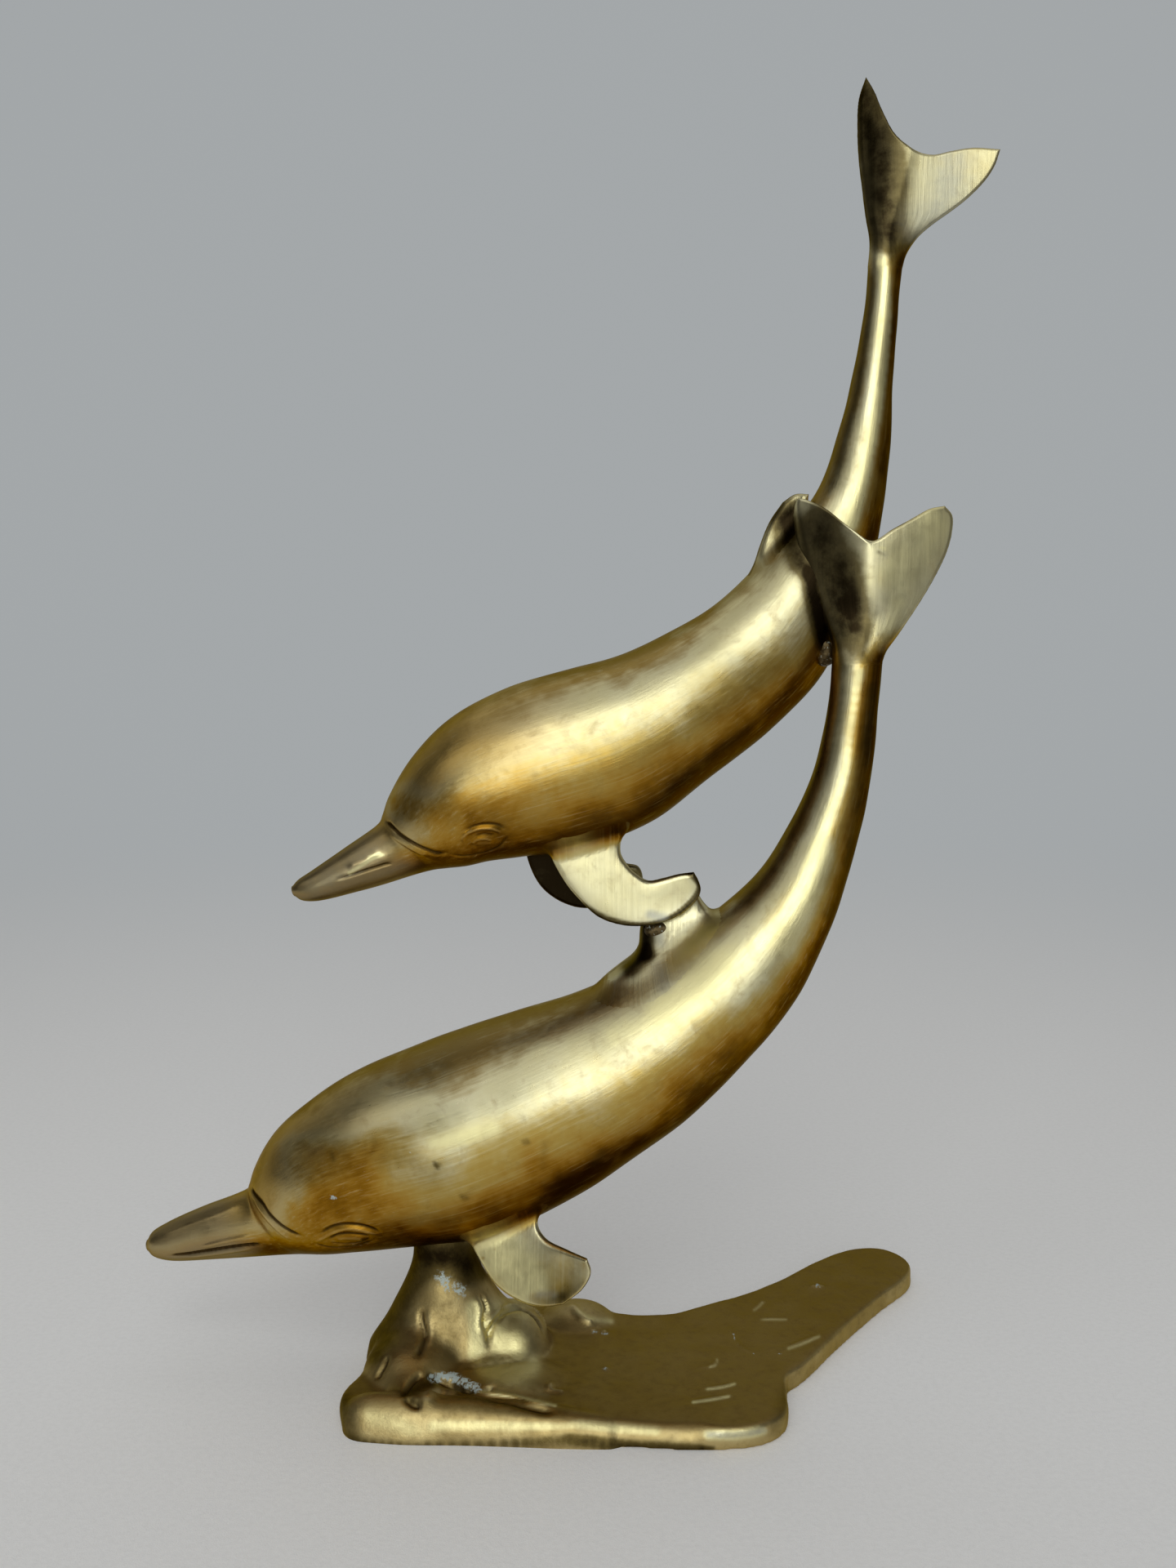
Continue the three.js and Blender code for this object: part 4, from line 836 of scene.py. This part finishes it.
def fluke_grid(shape, stations, rows):
    back_x, back_z, belly_x, _, stock_half = stations[-1]
    root_x = (back_x + belly_x) / 2
    sides = {key: [(root_x + x, back_z + z) for x, z in shape[key]] for key in ("left", "top", "right")}
    left = curve_xz([(back_x, back_z)] + sides["left"])
    right = curve_xz([(belly_x, back_z)] + sides["right"])
    top = curve_xz(sides["top"])
    patch = coons_patch(curve_xz([(back_x, back_z), (belly_x, back_z)]), top, left, right)

    def middle(u, v):
        lobe = np.abs(2 * u - 1) ** FLUKE_SPREAD
        back = np.where(u < 0.5, shape["left_back"], shape["right_back"])
        return v * (back * lobe - shape["ridge"] * (1 - lobe))

    def half(u, v, rounding):
        settled = 1 - (1 - np.minimum(1, v / FLUKE_SETTLE)) ** 2
        full = lerp(stock_half, lerp(shape["half"], shape["edge_half"], v), settled)
        section = np.sqrt(np.maximum(0, 1 - (2 * u - 1) ** 2))
        flat = lerp(np.minimum(shape["edge_half"], full), full, section) * rounding
        return lerp(full * section, flat, settled)

    return blade(patch, (left, top, right), middle, half, shape["edge_half"], 2, rows, ANGLES)


def fin_grid(shape, angles, rows):
    lead, tip, trail = (curve_xz(shape[key]) for key in ("lead", "tip", "trail"))
    root = curve_xz([shape["lead"][0], shape["trail"][0]])
    patch = coons_patch(root, tip, lead, trail)

    def middle(_, v):
        return lerp(shape["root_y"], shape["tip_y"], v)

    def half(u, v, rounding):
        flatness = lerp(shape["root_flatness"], shape["flatness"], soft_step(*FIN_FLATTENS, v))
        section = np.sqrt(np.maximum(0, 1 - np.abs(2 * u - 1) ** flatness))
        full = lerp(shape["tip_half"], shape["root_half"], (1 - v) ** shape["swell"])
        return lerp(shape["edge_half"], full, section) * rounding

    edges = (lead, tip, trail)
    grid, wear = blade(patch, edges, middle, half, shape["edge_half"], shape["corner"], rows, angles)
    across, _, across_z = (trail(0.0) - lead(0.0)).tolist()
    down, _, down_z = (lead(1.0) - lead(0.0)).tolist()
    if across * down_z < across_z * down:
        grid = np.roll(grid[:, ::-1], 1, axis=1)
        wear = np.roll(wear[:, ::-1], 1, axis=1)
    return grid, wear


def flared(grid, body_tree, fillet):
    """The fin with a hollow fillet where it meets the body, wide on its flat sides. Its normals and its
    girth run over into those of the body."""
    flat = grid.reshape(-1, 3)
    outward = grid_normals(grid).reshape(-1, 3)
    placed = flat.copy()
    heights = np.full(len(flat), np.inf)
    body_normals = np.zeros_like(flat)
    body_girths = np.zeros(len(flat))
    radii = lerp(EDGE_FILLET, fillet, outward[:, 1] ** 2)
    for k, (point, radius) in enumerate(zip(flat, radii.tolist())):
        spot, facing, _, _ = body_tree.find_nearest(point.tolist(), radius)
        if spot is None:
            continue
        facing = np.array(facing)
        height = (point - np.array(spot)) @ facing
        push = outward[k] - facing * (outward[k] @ facing)
        if np.linalg.norm(push) < FLAT_PUSH:
            continue
        flare = radius - math.sqrt(radius**2 - (radius - max(height, 0)) ** 2)
        moved = point + unit(push) * flare
        spot, facing, face, _ = body_tree.find_nearest(moved.tolist())
        placed[k] = np.array(spot) + np.array(facing) * height
        heights[k] = max(height, 0)
        body_normals[k] = facing
        body_girths[k] = math.cos(ANGLES[face % len(ANGLES)])
    placed = placed.reshape(grid.shape)
    share = soft_step(BLEND_NORMAL * fillet, 0, heights)[:, None]
    normals = unit(lerp(grid_normals(placed).reshape(-1, 3), body_normals, share)).reshape(grid.shape)
    # Near the root the fin takes the body's side, and with it the body's painted shade
    girths = lerp(FIN_GIRTH, body_girths, soft_step(BLEND_GIRTH * fillet, 0, heights))
    return placed, normals, girths.reshape(grid.shape[:2])


def finish_values(piece, points, normals, brush, wear, girth):
    """Values at each point that the brass finish reads."""
    marks = marks_on(piece, points.reshape(-1, 3), normals.reshape(-1, 3)).reshape(*points.shape[:2], -1)
    amber = marks[..., MARK_KINDS.index("amber")]
    # Amber marks move the side towards AMBER_GIRTH, a painted warm reflection, and below 0 towards
    # FIN_GIRTH, the lit flank's paler colour, as a painted highlight
    girth = lerp(girth, AMBER_GIRTH, np.clip(amber, 0, 1))
    girth = lerp(girth, FIN_GIRTH, np.clip(-amber, 0, 1))
    return {"brush": brush, "wear": wear, "girth": girth, "marks": marks[..., :3]}


def outer_rows(count, start=0.0):
    """Rows from the root to the outer edge, closer together towards the edge."""
    return lerp(start, 1, np.sin(np.linspace(0, 1, count) * math.pi / 2))


def edge_joined(normals):
    """Normals with one direction for the two sides that are laid together along the last row."""
    sides = normals.shape[1]
    partner = (sides - np.arange(sides)) % sides
    normals[-1] = unit(normals[-1] + normals[-1][partner])
    return normals


def make_dolphin(name, dolphin, fluke):
    """Body and fluke, which share a ring, and the body's skin for the fins to stand on."""
    body, brush, relief, girth, length = dolphin_grid(dolphin)
    tail_rows = outer_rows(FLUKE_ROWS)[1:]
    tail, tail_wear = fluke_grid(fluke, dolphin["stations"], tail_rows)
    on_fluke = soft_step(*FLUKE_FIN_SIDE_AND_BRUSH, tail_rows)[:, None]
    wider = lerp(1, FLUKE_BRUSH, soft_step(*FLUKE_WIDER, tail_rows))[:, None]
    worn = soft_step(*FLUKE_WEAR, tail_rows)[:, None]
    tail_brush = np.stack([length + tail[:, :, 2] - tail[0, :, 2].mean(),
                           (tail[:, :, 0] - body[-1, :, 0].mean()) * wider,
                           tail[:, :, 1] * (1 - on_fluke)], -1)
    whole = posed(np.concatenate([body, tail]), dolphin)
    normals = edge_joined(grid_normals(whole))
    brushes = np.concatenate([brush, tail_brush])
    wears = np.concatenate([relief, tail_wear * worn])
    # The fluke takes the fins' side, and the body's painted shade fades out along it
    girths = np.concatenate([girth, lerp(girth[:1], FIN_GIRTH, on_fluke)])

    rows = len(body)
    beak_end, stock_end = whole[0].mean(0), whole[rows - 1].mean(0)
    pieces = []
    for part, span, start, end in (("body", slice(None, rows), beak_end, stock_end),
                                   ("fluke", slice(rows - 1, None), stock_end, None)):
        grid, facing = whole[span], normals[span]
        values = finish_values(name, grid, facing, brushes[span], wears[span], girths[span])
        pieces.append(closed_grid(f"{name}_dolphin_{part}", grid, start, end, values, facing))
    return *pieces, grid_tree(whole[:rows])


def make_fin(node, shape, dolphin, body_tree):
    root_rows = np.linspace(shape["start"], FIN_ROOT, FIN_ROOT_ROWS)
    rows = np.concatenate([root_rows, outer_rows(FIN_ROWS, FIN_ROOT)[1:]])
    grid, wear = fin_grid(shape, full_turn(FIN_SIDES), rows)
    brush = np.stack([FIN_BRUSH + grid[:, :, 2], grid[:, :, 0], grid[:, :, 0] * 0], -1)
    placed, normals, girth = flared(posed(grid, dolphin), body_tree, shape["fillet"])
    normals = edge_joined(normals)
    values = finish_values(node, placed, normals, brush, wear, girth)
    return closed_grid(f"{node}_cast", placed, placed[0].mean(0), None, values, normals)


# Base

def level_oval(x, y, z, half_x, half_y, sides):
    angles = full_turn(sides)
    return np.stack([x + half_x * np.cos(angles), y + half_y * np.sin(angles), np.full(sides, z)], -1)


def loft(rings):
    """Points and faces of a closed skin over the rings, flat at both ends."""
    rows, sides = len(rings), len(rings[0])
    last = (rows - 1) * sides
    faces = grid_faces(rows, sides).tolist()
    return np.concatenate(rings), faces + [list(range(sides))[::-1], list(range(last, last + sides))]


def left_of(along):
    """Level unit vectors to the left of the given directions."""
    return unit(np.stack([-along[:, 1], along[:, 0], along[:, 0] * 0], -1))


def plate_loft():
    t = np.linspace(0, 1, OUTLINE_STEPS, endpoint=False)
    outline = smooth([(x, y, 0) for x, y in PLATE_OUTLINE], closed=True)(t)
    inward = left_of(np.roll(outline, -1, 0) - np.roll(outline, 1, 0))
    front = soft_step(*FRONT_DEPTH, outline[:, 1]) * soft_step(*FRONT_RIGHT, outline[:, 0])
    bevel = lerp(PLATE_BEVEL, FRONT_BEVEL, front)[:, None]
    rings = [outline]
    for turn in np.linspace(0, math.pi / 2, BEVEL_STEPS):
        ring = outline + inward * bevel * (1 - math.cos(turn))
        ring[:, 2] = PLATE_THICK - bevel[:, 0] * (1 - math.sin(turn))
        rings.append(ring)
    return loft(rings)


def rock_loft():
    t = np.linspace(0, 1, ROCK_ROWS)
    middles = smooth([(x, y, z) for z, x, y, _, _ in ROCK_SECTIONS])(t)
    halves = smooth([(half_x, half_y, 0) for _, _, _, half_x, half_y in ROCK_SECTIONS])(t)
    return loft([level_oval(*middle, *half[:2], OVAL_SIDES) for middle, half in zip(middles, halves)])


def ball(x, y, z, half_x, half_y, half_z):
    rings = []
    for turn in np.linspace(0, math.pi, BALL_ROWS)[1:-1]:
        out = math.sin(turn)
        rings.append(level_oval(x, y, z - half_z * math.cos(turn), half_x * out, half_y * out, BALL_SIDES))
    return loft(rings)


def rim_loft():
    """Oval bar of changing size with rounded ends, half of it below the table."""
    t = np.linspace(0, 1, RIM_STEPS)
    path = smooth([(x, y, 0) for x, y, _, _ in RIM])(t)
    sizes = smooth([(depth, height, 0) for _, _, depth, height in RIM])(t)
    angles = full_turn(RIM_SIDES)
    along = unit(np.gradient(path, axis=0))
    across = left_of(along)
    rings = []
    for k in range(-RIM_CAP_ROWS, len(t) + RIM_CAP_ROWS):
        at = min(max(k, 0), len(t) - 1)
        past = (k - at) / (RIM_CAP_ROWS + 0.3)
        half_depth, height, _ = sizes[at] * math.sqrt(1 - past**2)
        middle = path[at] + along[at] * sizes[at, 0] * past
        ring = middle + across[at] * half_depth * np.cos(angles)[:, None]
        ring[:, 2] = height * np.sin(angles)
        rings.append(ring)
    return loft(rings)


def modified(shape, kind, **settings):
    """The object with a modifier applied to its mesh."""
    modifier = shape.modifiers.new(kind, kind)
    for key, value in settings.items():
        setattr(modifier, key, value)
    graph = bpy.context.evaluated_depsgraph_get()
    mesh = bpy.data.meshes.new_from_object(shape.evaluated_get(graph))
    shape.modifiers.clear()
    shape.data = mesh
    return shape


def melted(spots, edges, share, rounds):
    """The points moved again and again towards the middle of their neighbours."""
    first, second = np.concatenate([edges, edges[:, ::-1]]).T
    count = np.bincount(first, minlength=len(spots))
    for _ in range(rounds):
        total = [np.bincount(first, spots[second, axis], len(spots)) for axis in range(3)]
        spots = lerp(spots, np.stack(total, -1) / count[:, None], share[:, None])
    return spots


def numbers_of(items, field, width, kind=np.float32):
    values = np.zeros(len(items) * width, kind)
    items.foreach_get(field, values)
    return values.reshape(-1, width)


def move_vertices(mesh, spots):
    mesh.vertices.foreach_set("co", (spots * MM).astype(np.float32).ravel())
    mesh.update()


def drilled(base):
    """The base with the pocket for the bolt's head in its underside and the bore above it."""
    low, high = DRILL_SPAN
    rings = []
    for radius, *ends in ((POCKET_RADIUS, low, POCKET_DEPTH), (BORE_RADIUS, POCKET_DEPTH, high)):
        rings += [level_oval(*BOLT_PLACE, z, radius, radius, OVAL_SIDES) for z in ends]
    drill = mesh_object("drill", *loft(rings))
    modified(base, "BOOLEAN", object=drill, solver="MANIFOLD")
    bpy.data.objects.remove(drill)
    base.data.set_sharp_from_angle(angle=math.radians(60))
    return base


def make_base():
    """Plate, rock, humps and rim, melted into one skin, with its folds and creases."""
    points, faces = [], []
    humps = [ball(*hump) for hump in ROCK_HUMPS]
    for part_points, part_faces in (plate_loft(), rock_loft(), rim_loft(), *humps):
        shift = sum(len(part) for part in points)
        points.append(part_points)
        faces += [[k + shift for k in face] for face in part_faces]
    base = mesh_object("cast_base", np.concatenate(points), faces)
    modified(base, "REMESH", mode="VOXEL", voxel_size=BASE_VOXEL * MM)
    modified(base, "SMOOTH", factor=0.5, iterations=BASE_RELAX)
    mesh = base.data
    mesh.shade_smooth()
    spots = numbers_of(mesh.vertices, "co", 3).astype(float) / MM
    edges = numbers_of(mesh.edges, "vertices", 2, np.int32)
    spots = melted(spots, edges, 0.5 * soft_step(PLATE_THICK, ROCK_FOOT, spots[:, 2]), ROCK_MELT)
    spots[:, 2] = np.maximum(spots[:, 2], 0)
    move_vertices(mesh, spots)
    normals = numbers_of(mesh.vertices, "normal", 3).astype(float)
    tree = BVHTree.FromPolygons(spots.tolist(), [list(face.vertices) for face in mesh.polygons])
    relief = relief_at(spots, lines_on(tree, BASE_LINES, from_eye=True))
    above_table = soft_step(*CALM_FOOT, spots[:, 2])
    spots += normals * ((waves(spots, BASE_WAVES) + relief) * above_table)[:, None]
    spots[:, 1:] = np.maximum(spots[:, 1:], (BASE_FRONT, 0))
    move_vertices(mesh, spots)
    set_attributes(mesh, {"wear": relief, "marks": marks_on("base", spots, normals)[:, :3]})
    return drilled(base)


def make_bead(name, place, half, seed):
    points, faces = ball(*place, *[BEAD_SHARE * h for h in half])
    height, wavelength = BEAD_LUMPS
    points = lerp(np.array(place), points, 1 + height * ripple(points, wavelength, seed)[:, None])
    return mesh_object(name, points, faces)


# Finishes

class Finish:
    """Node tree of a material or the world. Most methods add a node and give back its output."""

    def __init__(self, owner):
        self.owner = owner
        owner.use_nodes = True
        self.tree = owner.node_tree

    def feed(self, socket, value):
        if isinstance(value, bpy.types.NodeSocket):
            self.tree.links.new(value, socket)
        elif isinstance(value, tuple) and len(value) == 3 and socket.type == "RGBA":
            socket.default_value = (*value, 1)
        else:
            socket.default_value = value

    def add(self, kind, inputs, output=0, **settings):
        node = self.tree.nodes.new(kind)
        for key, value in settings.items():
            setattr(node, key, value)
        for key, value in inputs.items():
            self.feed(node.inputs[key], value)
        return node.outputs[output]

    def attribute(self, name, output="Fac"):
        return self.add("ShaderNodeAttribute", {}, output, attribute_name=name)

    def place(self):
        """Place on the piece in millimetres."""
        return self.stretch(self.add("ShaderNodeTexCoord", {}, "Object"), (1 / MM, 1 / MM, 1 / MM))

    def part(self, vector, axis):
        return self.add("ShaderNodeSeparateXYZ", {"Vector": vector}, axis)

    def maths(self, operation, a, b=0.0):
        return self.add("ShaderNodeMath", {0: a, 1: b}, operation=operation)

    def stretch(self, vector, scale):
        return self.add("ShaderNodeVectorMath", {0: vector, 1: scale}, operation="MULTIPLY")

    def noise(self, vector, scale, detail=3.0, roughness=0.55, distortion=0.0):
        return self.add("ShaderNodeTexNoise", {"Vector": vector, "Scale": scale, "Detail": detail,
                                               "Roughness": roughness, "Distortion": distortion})

    def spread(self, value, low, high, to_low=0.0, to_high=1.0):
        """The value from low to high carried softly onto the range from to_low to to_high."""
        ends = {"From Min": low, "From Max": high, "To Min": to_low, "To Max": to_high}
        return self.add("ShaderNodeMapRange", {"Value": value, **ends}, interpolation_type="SMOOTHSTEP")

    def mix(self, share, a, b):
        return self.add("ShaderNodeMix", {0: share, 6: a, 7: b}, 2, data_type="RGBA")

    def layered(self, color, layers):
        """The colour with others over it, each by a value's way from low to high and up to a share."""
        for value, low, high, share, over in layers:
            color = self.mix(self.spread(value, low, high, 0, share), color, over)
        return color

    def bump(self, height, strength, distance):
        return self.add("ShaderNodeBump", {"Height": height, "Strength": strength, "Distance": distance})

    def marked(self, color, place):
        """The colour with its pale and dark tones, mostly painted highlights, shade and shadow and partly
        real wear, its grey and verdigris marks, and how bare the metal is.
        """
        marks = self.part(self.attribute("marks", "Vector"), "X").node.outputs
        uneven = self.spread(self.noise(place, 0.2, 5, 0.65), 0.3, 0.7, 0.85, 1.12)
        grainy = self.spread(self.noise(place, 0.7, 4, 0.7), 0.35, 0.65, 0.3, 1.3)
        tone = self.maths("MULTIPLY", marks["X"], uneven)
        bloom = self.maths("MULTIPLY", marks["Y"], uneven)
        green = self.maths("MULTIPLY", marks["Z"], grainy)
        # Pale tones paint highlights, dark and black tones paint shade and shadow, with some real wear
        # among them
        color = self.layered(color, [
            (tone, 0, 0.9, 0.9, PALE_MARK),
            (tone, 0, -1, 0.9, DARK_MARK),
            (tone, -0.8, -2, 0.95, BLACK_MARK),
            (bloom, 0.1, 0.8, 0.8, GREY_BLOOM),
        ])
        crust = self.spread(green, 0.3, 0.75)
        return self.mix(crust, color, VERDIGRIS), self.maths("SUBTRACT", 1.0, crust)

    def finish(self, color, roughness, normal, metallic=1.0, edge=(1, 1, 1)):
        values = {"Base Color": color, "Roughness": roughness, "Normal": normal, "Metallic": metallic,
                  "Specular Tint": edge}
        for key, value in values.items():
            self.feed(self.tree.nodes["Principled BSDF"].inputs[key], value)
        return self.owner


def body_brass():
    f = Finish(bpy.data.materials.new("body_brass"))
    brush = f.attribute("brush", "Vector")
    wear = f.attribute("wear")
    place = f.place()
    streaks = f.noise(f.stretch(brush, (0.03, 0.9, 0.9)), 1.0, 4, 0.6)
    scratches = f.noise(f.stretch(brush, (0.08, 3.4, 3.4)), 1.0, 3, 0.6)
    clouds = f.noise(place, 0.035, 4, 0.6)
    blotches = f.noise(place, 0.14, 5, 0.62, 0.4)
    along = f.part(brush, "X")
    # From 1 on the back to -1 on the belly, wavering with the clouds and the streaks
    drift = f.maths("ADD", f.attribute("girth"), f.spread(clouds, 0.3, 0.7, -0.2, 0.2))
    drift = f.maths("ADD", drift, f.spread(streaks, 0.3, 0.7, -0.05, 0.05))
    color = f.mix(f.spread(clouds, 0.35, 0.68), GOLD, PALE_GOLD)
    # Painted shade by the side of the body: olive below the lit flank
    color = f.layered(color, [(drift, 0.4, -0.15, 1, OLIVE)])
    # Brown patina on the head, laid on more thickly towards its back as painted shade; the head's side is
    # moved towards the belly, so that the painted warm reflection below reaches up its cheek
    head = f.spread(along, 125, 70)
    color = f.mix(f.maths("MULTIPLY", head, f.spread(drift, 0.1, 0.6, 0.45, 0.85)), color, HEAD_BROWN)
    drift = f.maths("SUBTRACT", drift, f.maths("MULTIPLY", head, 0.2))
    # Painted reflection and shade by the side of the body: amber as a painted warm reflection on the lower
    # side, partly real patina, painted shade on the belly and painted shade on the back; then the real
    # blotches, brush streaks, scratches, darker beak and engraved lines
    color = f.layered(color, [
        (drift, 0, -0.6, 1, AMBER),
        (drift, -0.3, -0.85, 1, BELLY_BROWN),
        (drift, 0.6, 1.0, 0.9, BACK_BROWN),
        (blotches, 0.5, 0.78, 0.4, BLOTCH_BROWN),
        (streaks, 0.55, 0.8, 0.25, STREAK_GOLD),
        (scratches, 0.62, 0.78, 0.25, SCRATCH_GOLD),
        (along, 44, 30, 0.75, BEAK_BROWN),
        (wear, -0.1, -0.6, 0.95, GROOVE_BLACK),
        (wear, 0.12, 0.5, 0.2, RIDGE_GOLD),
    ])
    color, bare = f.marked(color, place)
    rough = f.spread(blotches, 0.3, 0.75, 0.26, 0.38)
    rough = f.maths("ADD", rough, f.spread(streaks, 0.3, 0.7, 0, 0.06))
    height = f.maths("ADD", f.maths("MULTIPLY", streaks, 0.5), f.maths("MULTIPLY", scratches, 0.15))
    return f.finish(color, rough, f.bump(height, 0.33, 0.00035), bare, BRASS_EDGE)


def base_brass():
    f = Finish(bpy.data.materials.new("base_brass"))
    place = f.place()
    wear = f.attribute("wear")
    clouds = f.noise(place, 0.05, 5, 0.6, 0.3)
    blotches = f.noise(place, 0.3, 5, 0.65)
    grain = f.noise(place, 1.4, 4, 0.65)
    level = f.spread(f.part(f.add("ShaderNodeNewGeometry", {}, "Normal"), "Z"), 0.6, 1.0)
    plate = f.maths("MULTIPLY", level, f.spread(f.part(place, "Z"), 13, PLATE_THICK, 0.25, 0.85))
    color = f.mix(f.spread(clouds, 0.35, 0.7), BASE_BROWN, BASE_GOLD)
    color = f.layered(f.mix(plate, color, PLATE_BROWN), [
        (blotches, 0.5, 0.75, 0.25, BASE_BLOTCH),
        (wear, -0.2, -1.2, 0.65, BASE_GROOVE),
        (wear, 0.2, 0.9, 0.5, BASE_RIDGE),
    ])
    color, bare = f.marked(color, place)
    rough = f.spread(blotches, 0.3, 0.75, 0.38, 0.55)
    relief = f.maths("ADD", blotches, f.maths("MULTIPLY", grain, 0.5))
    return f.finish(color, rough, f.bump(relief, 0.3, 0.0005), bare, BRASS_EDGE)


def plain_finish(name, light, dark, roughness, metallic=1.0):
    f = Finish(bpy.data.materials.new(name))
    place = f.place()
    blotches = f.noise(place, 0.5, 5, 0.65)
    grain = f.noise(place, 2.2, 4, 0.6)
    color = f.mix(f.spread(blotches, 0.35, 0.7), light, dark)
    rough = f.spread(grain, 0.3, 0.7, roughness - 0.06, roughness + 0.1)
    return f.finish(color, rough, f.bump(f.maths("ADD", blotches, grain), 0.4, 0.0005), metallic)


def braze_filler():
    f = Finish(bpy.data.materials.new("braze_filler"))
    place = f.place()
    blotches = f.noise(place, 0.5, 5, 0.65)
    specks = f.noise(place, 0.9, 3, 0.6)
    crust = f.spread(specks, 0.6, 0.66)
    color = f.mix(f.spread(blotches, 0.35, 0.7), BRAZE_BROWN, BRAZE_BLACK)
    rough = f.spread(blotches, 0.3, 0.7, 0.45, 0.6)
    relief = f.bump(f.maths("ADD", blotches, specks), 0.4, 0.0006)
    return f.finish(f.mix(crust, color, BRAZE_CRUST), rough, relief, f.maths("SUBTRACT", 1.0, crust))


# Stage

def room_grey(f, toward_back):
    """Grey of the room in a level direction: -1 is towards the viewer and 1 is behind the sculpture."""
    ramp = f.add("ShaderNodeValToRGB", {"Fac": f.spread(toward_back, -1, 1)})
    stops = ramp.node.color_ramp.elements
    stops[0].color = (*ROOM_FRONT, 1)
    stops[1].color = (*ROOM_BACK, 1)
    for place, grey in ROOM_SIDES:
        stops.new(place).color = (grey, grey, grey, 1)
    return ramp


def seen_directly(f):
    """1 for what the camera or a reflection sees, 0 for light that falls on a dull surface."""
    rays = f.tree.nodes.new("ShaderNodeLightPath")
    seen = f.maths("MAXIMUM", rays.outputs["Is Camera Ray"], rays.outputs["Is Glossy Ray"])
    return f.maths("MAXIMUM", seen, rays.outputs["Is Transmission Ray"])


def make_floor():
    """Level floor that fades into the grey of the room far away."""
    mesh = bpy.data.meshes.new("floor")
    far, near = FLOOR_REACH, -FLOOR_REACH
    mesh.from_pydata([(near, near, 0), (far, near, 0), (far, far, 0), (near, far, 0)], [], [(0, 1, 2, 3)])
    floor = in_scene("floor", mesh)
    material = plain_finish("floor", FLOOR_LIGHT, FLOOR_DARK, 0.6, 0.0)
    f = Finish(material)
    place = f.add("ShaderNodeNewGeometry", {}, "Position")
    distance = f.add("ShaderNodeVectorMath", {0: place}, "Value", operation="LENGTH")
    direction = f.add("ShaderNodeVectorMath", {0: place}, operation="NORMALIZE")
    room = f.add("ShaderNodeEmission", {"Color": room_grey(f, f.part(direction, "Y"))})
    seen = seen_directly(f)
    share = f.maths("MULTIPLY", f.spread(distance, *FLOOR_FADE), seen)
    strength = f.maths("MULTIPLY", seen, FLOOR_GLOW)
    glow = f.add("ShaderNodeEmission", {"Color": (1, 1, 1), "Strength": strength})
    paler = f.add("ShaderNodeAddShader", {0: f.tree.nodes["Principled BSDF"].outputs[0], 1: glow})
    shade = f.add("ShaderNodeMixShader", {0: share, 1: paler, 2: room})
    f.feed(f.tree.nodes["Material Output"].inputs["Surface"], shade)
    floor.data.materials.append(material)


def make_world():
    world = bpy.data.worlds.new("room")
    bpy.context.scene.world = world
    f = Finish(world)
    direction = f.add("ShaderNodeTexCoord", {}, "Generated")
    f.feed(f.tree.nodes["Background"].inputs["Color"], room_grey(f, f.part(direction, "Y")))


def make_lamp(name, place, target, size, power, color):
    data = bpy.data.lights.new(name, "AREA")
    data.shape = "RECTANGLE"
    data.size, data.size_y = size
    data.energy = power
    data.color = color
    lamp = in_scene(name, data)
    lamp.location = place
    x, y, z = unit(np.array(target, float) - np.array(place, float))
    lamp.rotation_euler = (math.acos(-z), 0, math.atan2(y, x) - math.pi / 2)
    lamp.visible_camera = False


def make_camera():
    data = bpy.data.cameras.new("camera")
    data.lens = LENS
    data.sensor_width = SENSOR_WIDTH
    camera = in_scene("camera", data)
    camera.location = [coordinate * MM for coordinate in EYE]
    camera.rotation_euler = (math.radians(90 - CAMERA_PITCH), 0, 0)
    bpy.context.scene.camera = camera


def dress(piece, slot, material, *nodes):
    piece.data.materials.clear()
    piece.data.materials.append(material)
    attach(piece, "root")
    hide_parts(*nodes)


def main():
    body = body_brass()
    base = base_brass()
    braze = braze_filler()
    steel = plain_finish("bolt_steel", STEEL_LIGHT, STEEL_DARK, 0.38)

    lower_body, lower_fluke, lower_skin = make_dolphin("lower", LOWER, LOWER_FLUKE)
    upper_body, upper_fluke, upper_skin = make_dolphin("upper", UPPER, UPPER_FLUKE)
    dress(lower_body, "body_brass", body, "lower_body_left", "lower_body_right")
    dress(upper_body, "body_brass", body, "upper_body_left", "upper_body_right")
    dress(lower_fluke, "body_brass", body, "lower_tail_fluke")
    dress(upper_fluke, "body_brass", body, "upper_tail_fluke")
    for fins, dolphin, skin in ((LOWER_FINS, LOWER, lower_skin), (UPPER_FINS, UPPER, upper_skin)):
        for node, shape in fins.items():
            dress(make_fin(node, shape, dolphin, skin), "body_brass", body, node)
    dress(make_base(), "base_brass", base, "wave_base")
    dress(make_bead("dorsal_braze_bead", *DORSAL_BRAZE, 21), "braze_filler", braze, "dorsal_braze")
    dress(make_bead("tail_braze_bead", *TAIL_BRAZE, 22), "braze_filler", braze, "tail_braze")
    for node, material in (("base_bolt", steel), ("bolt_washer", steel), ("belly_boss", body)):
        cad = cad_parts[node]
        cad.data.materials.clear()
        cad.data.materials.append(material)

    make_floor()
    make_world()
    for name, settings in LAMPS.items():
        make_lamp(name, *settings)
    make_camera()


main()
bpy.context.scene.view_settings.view_transform = "Standard"
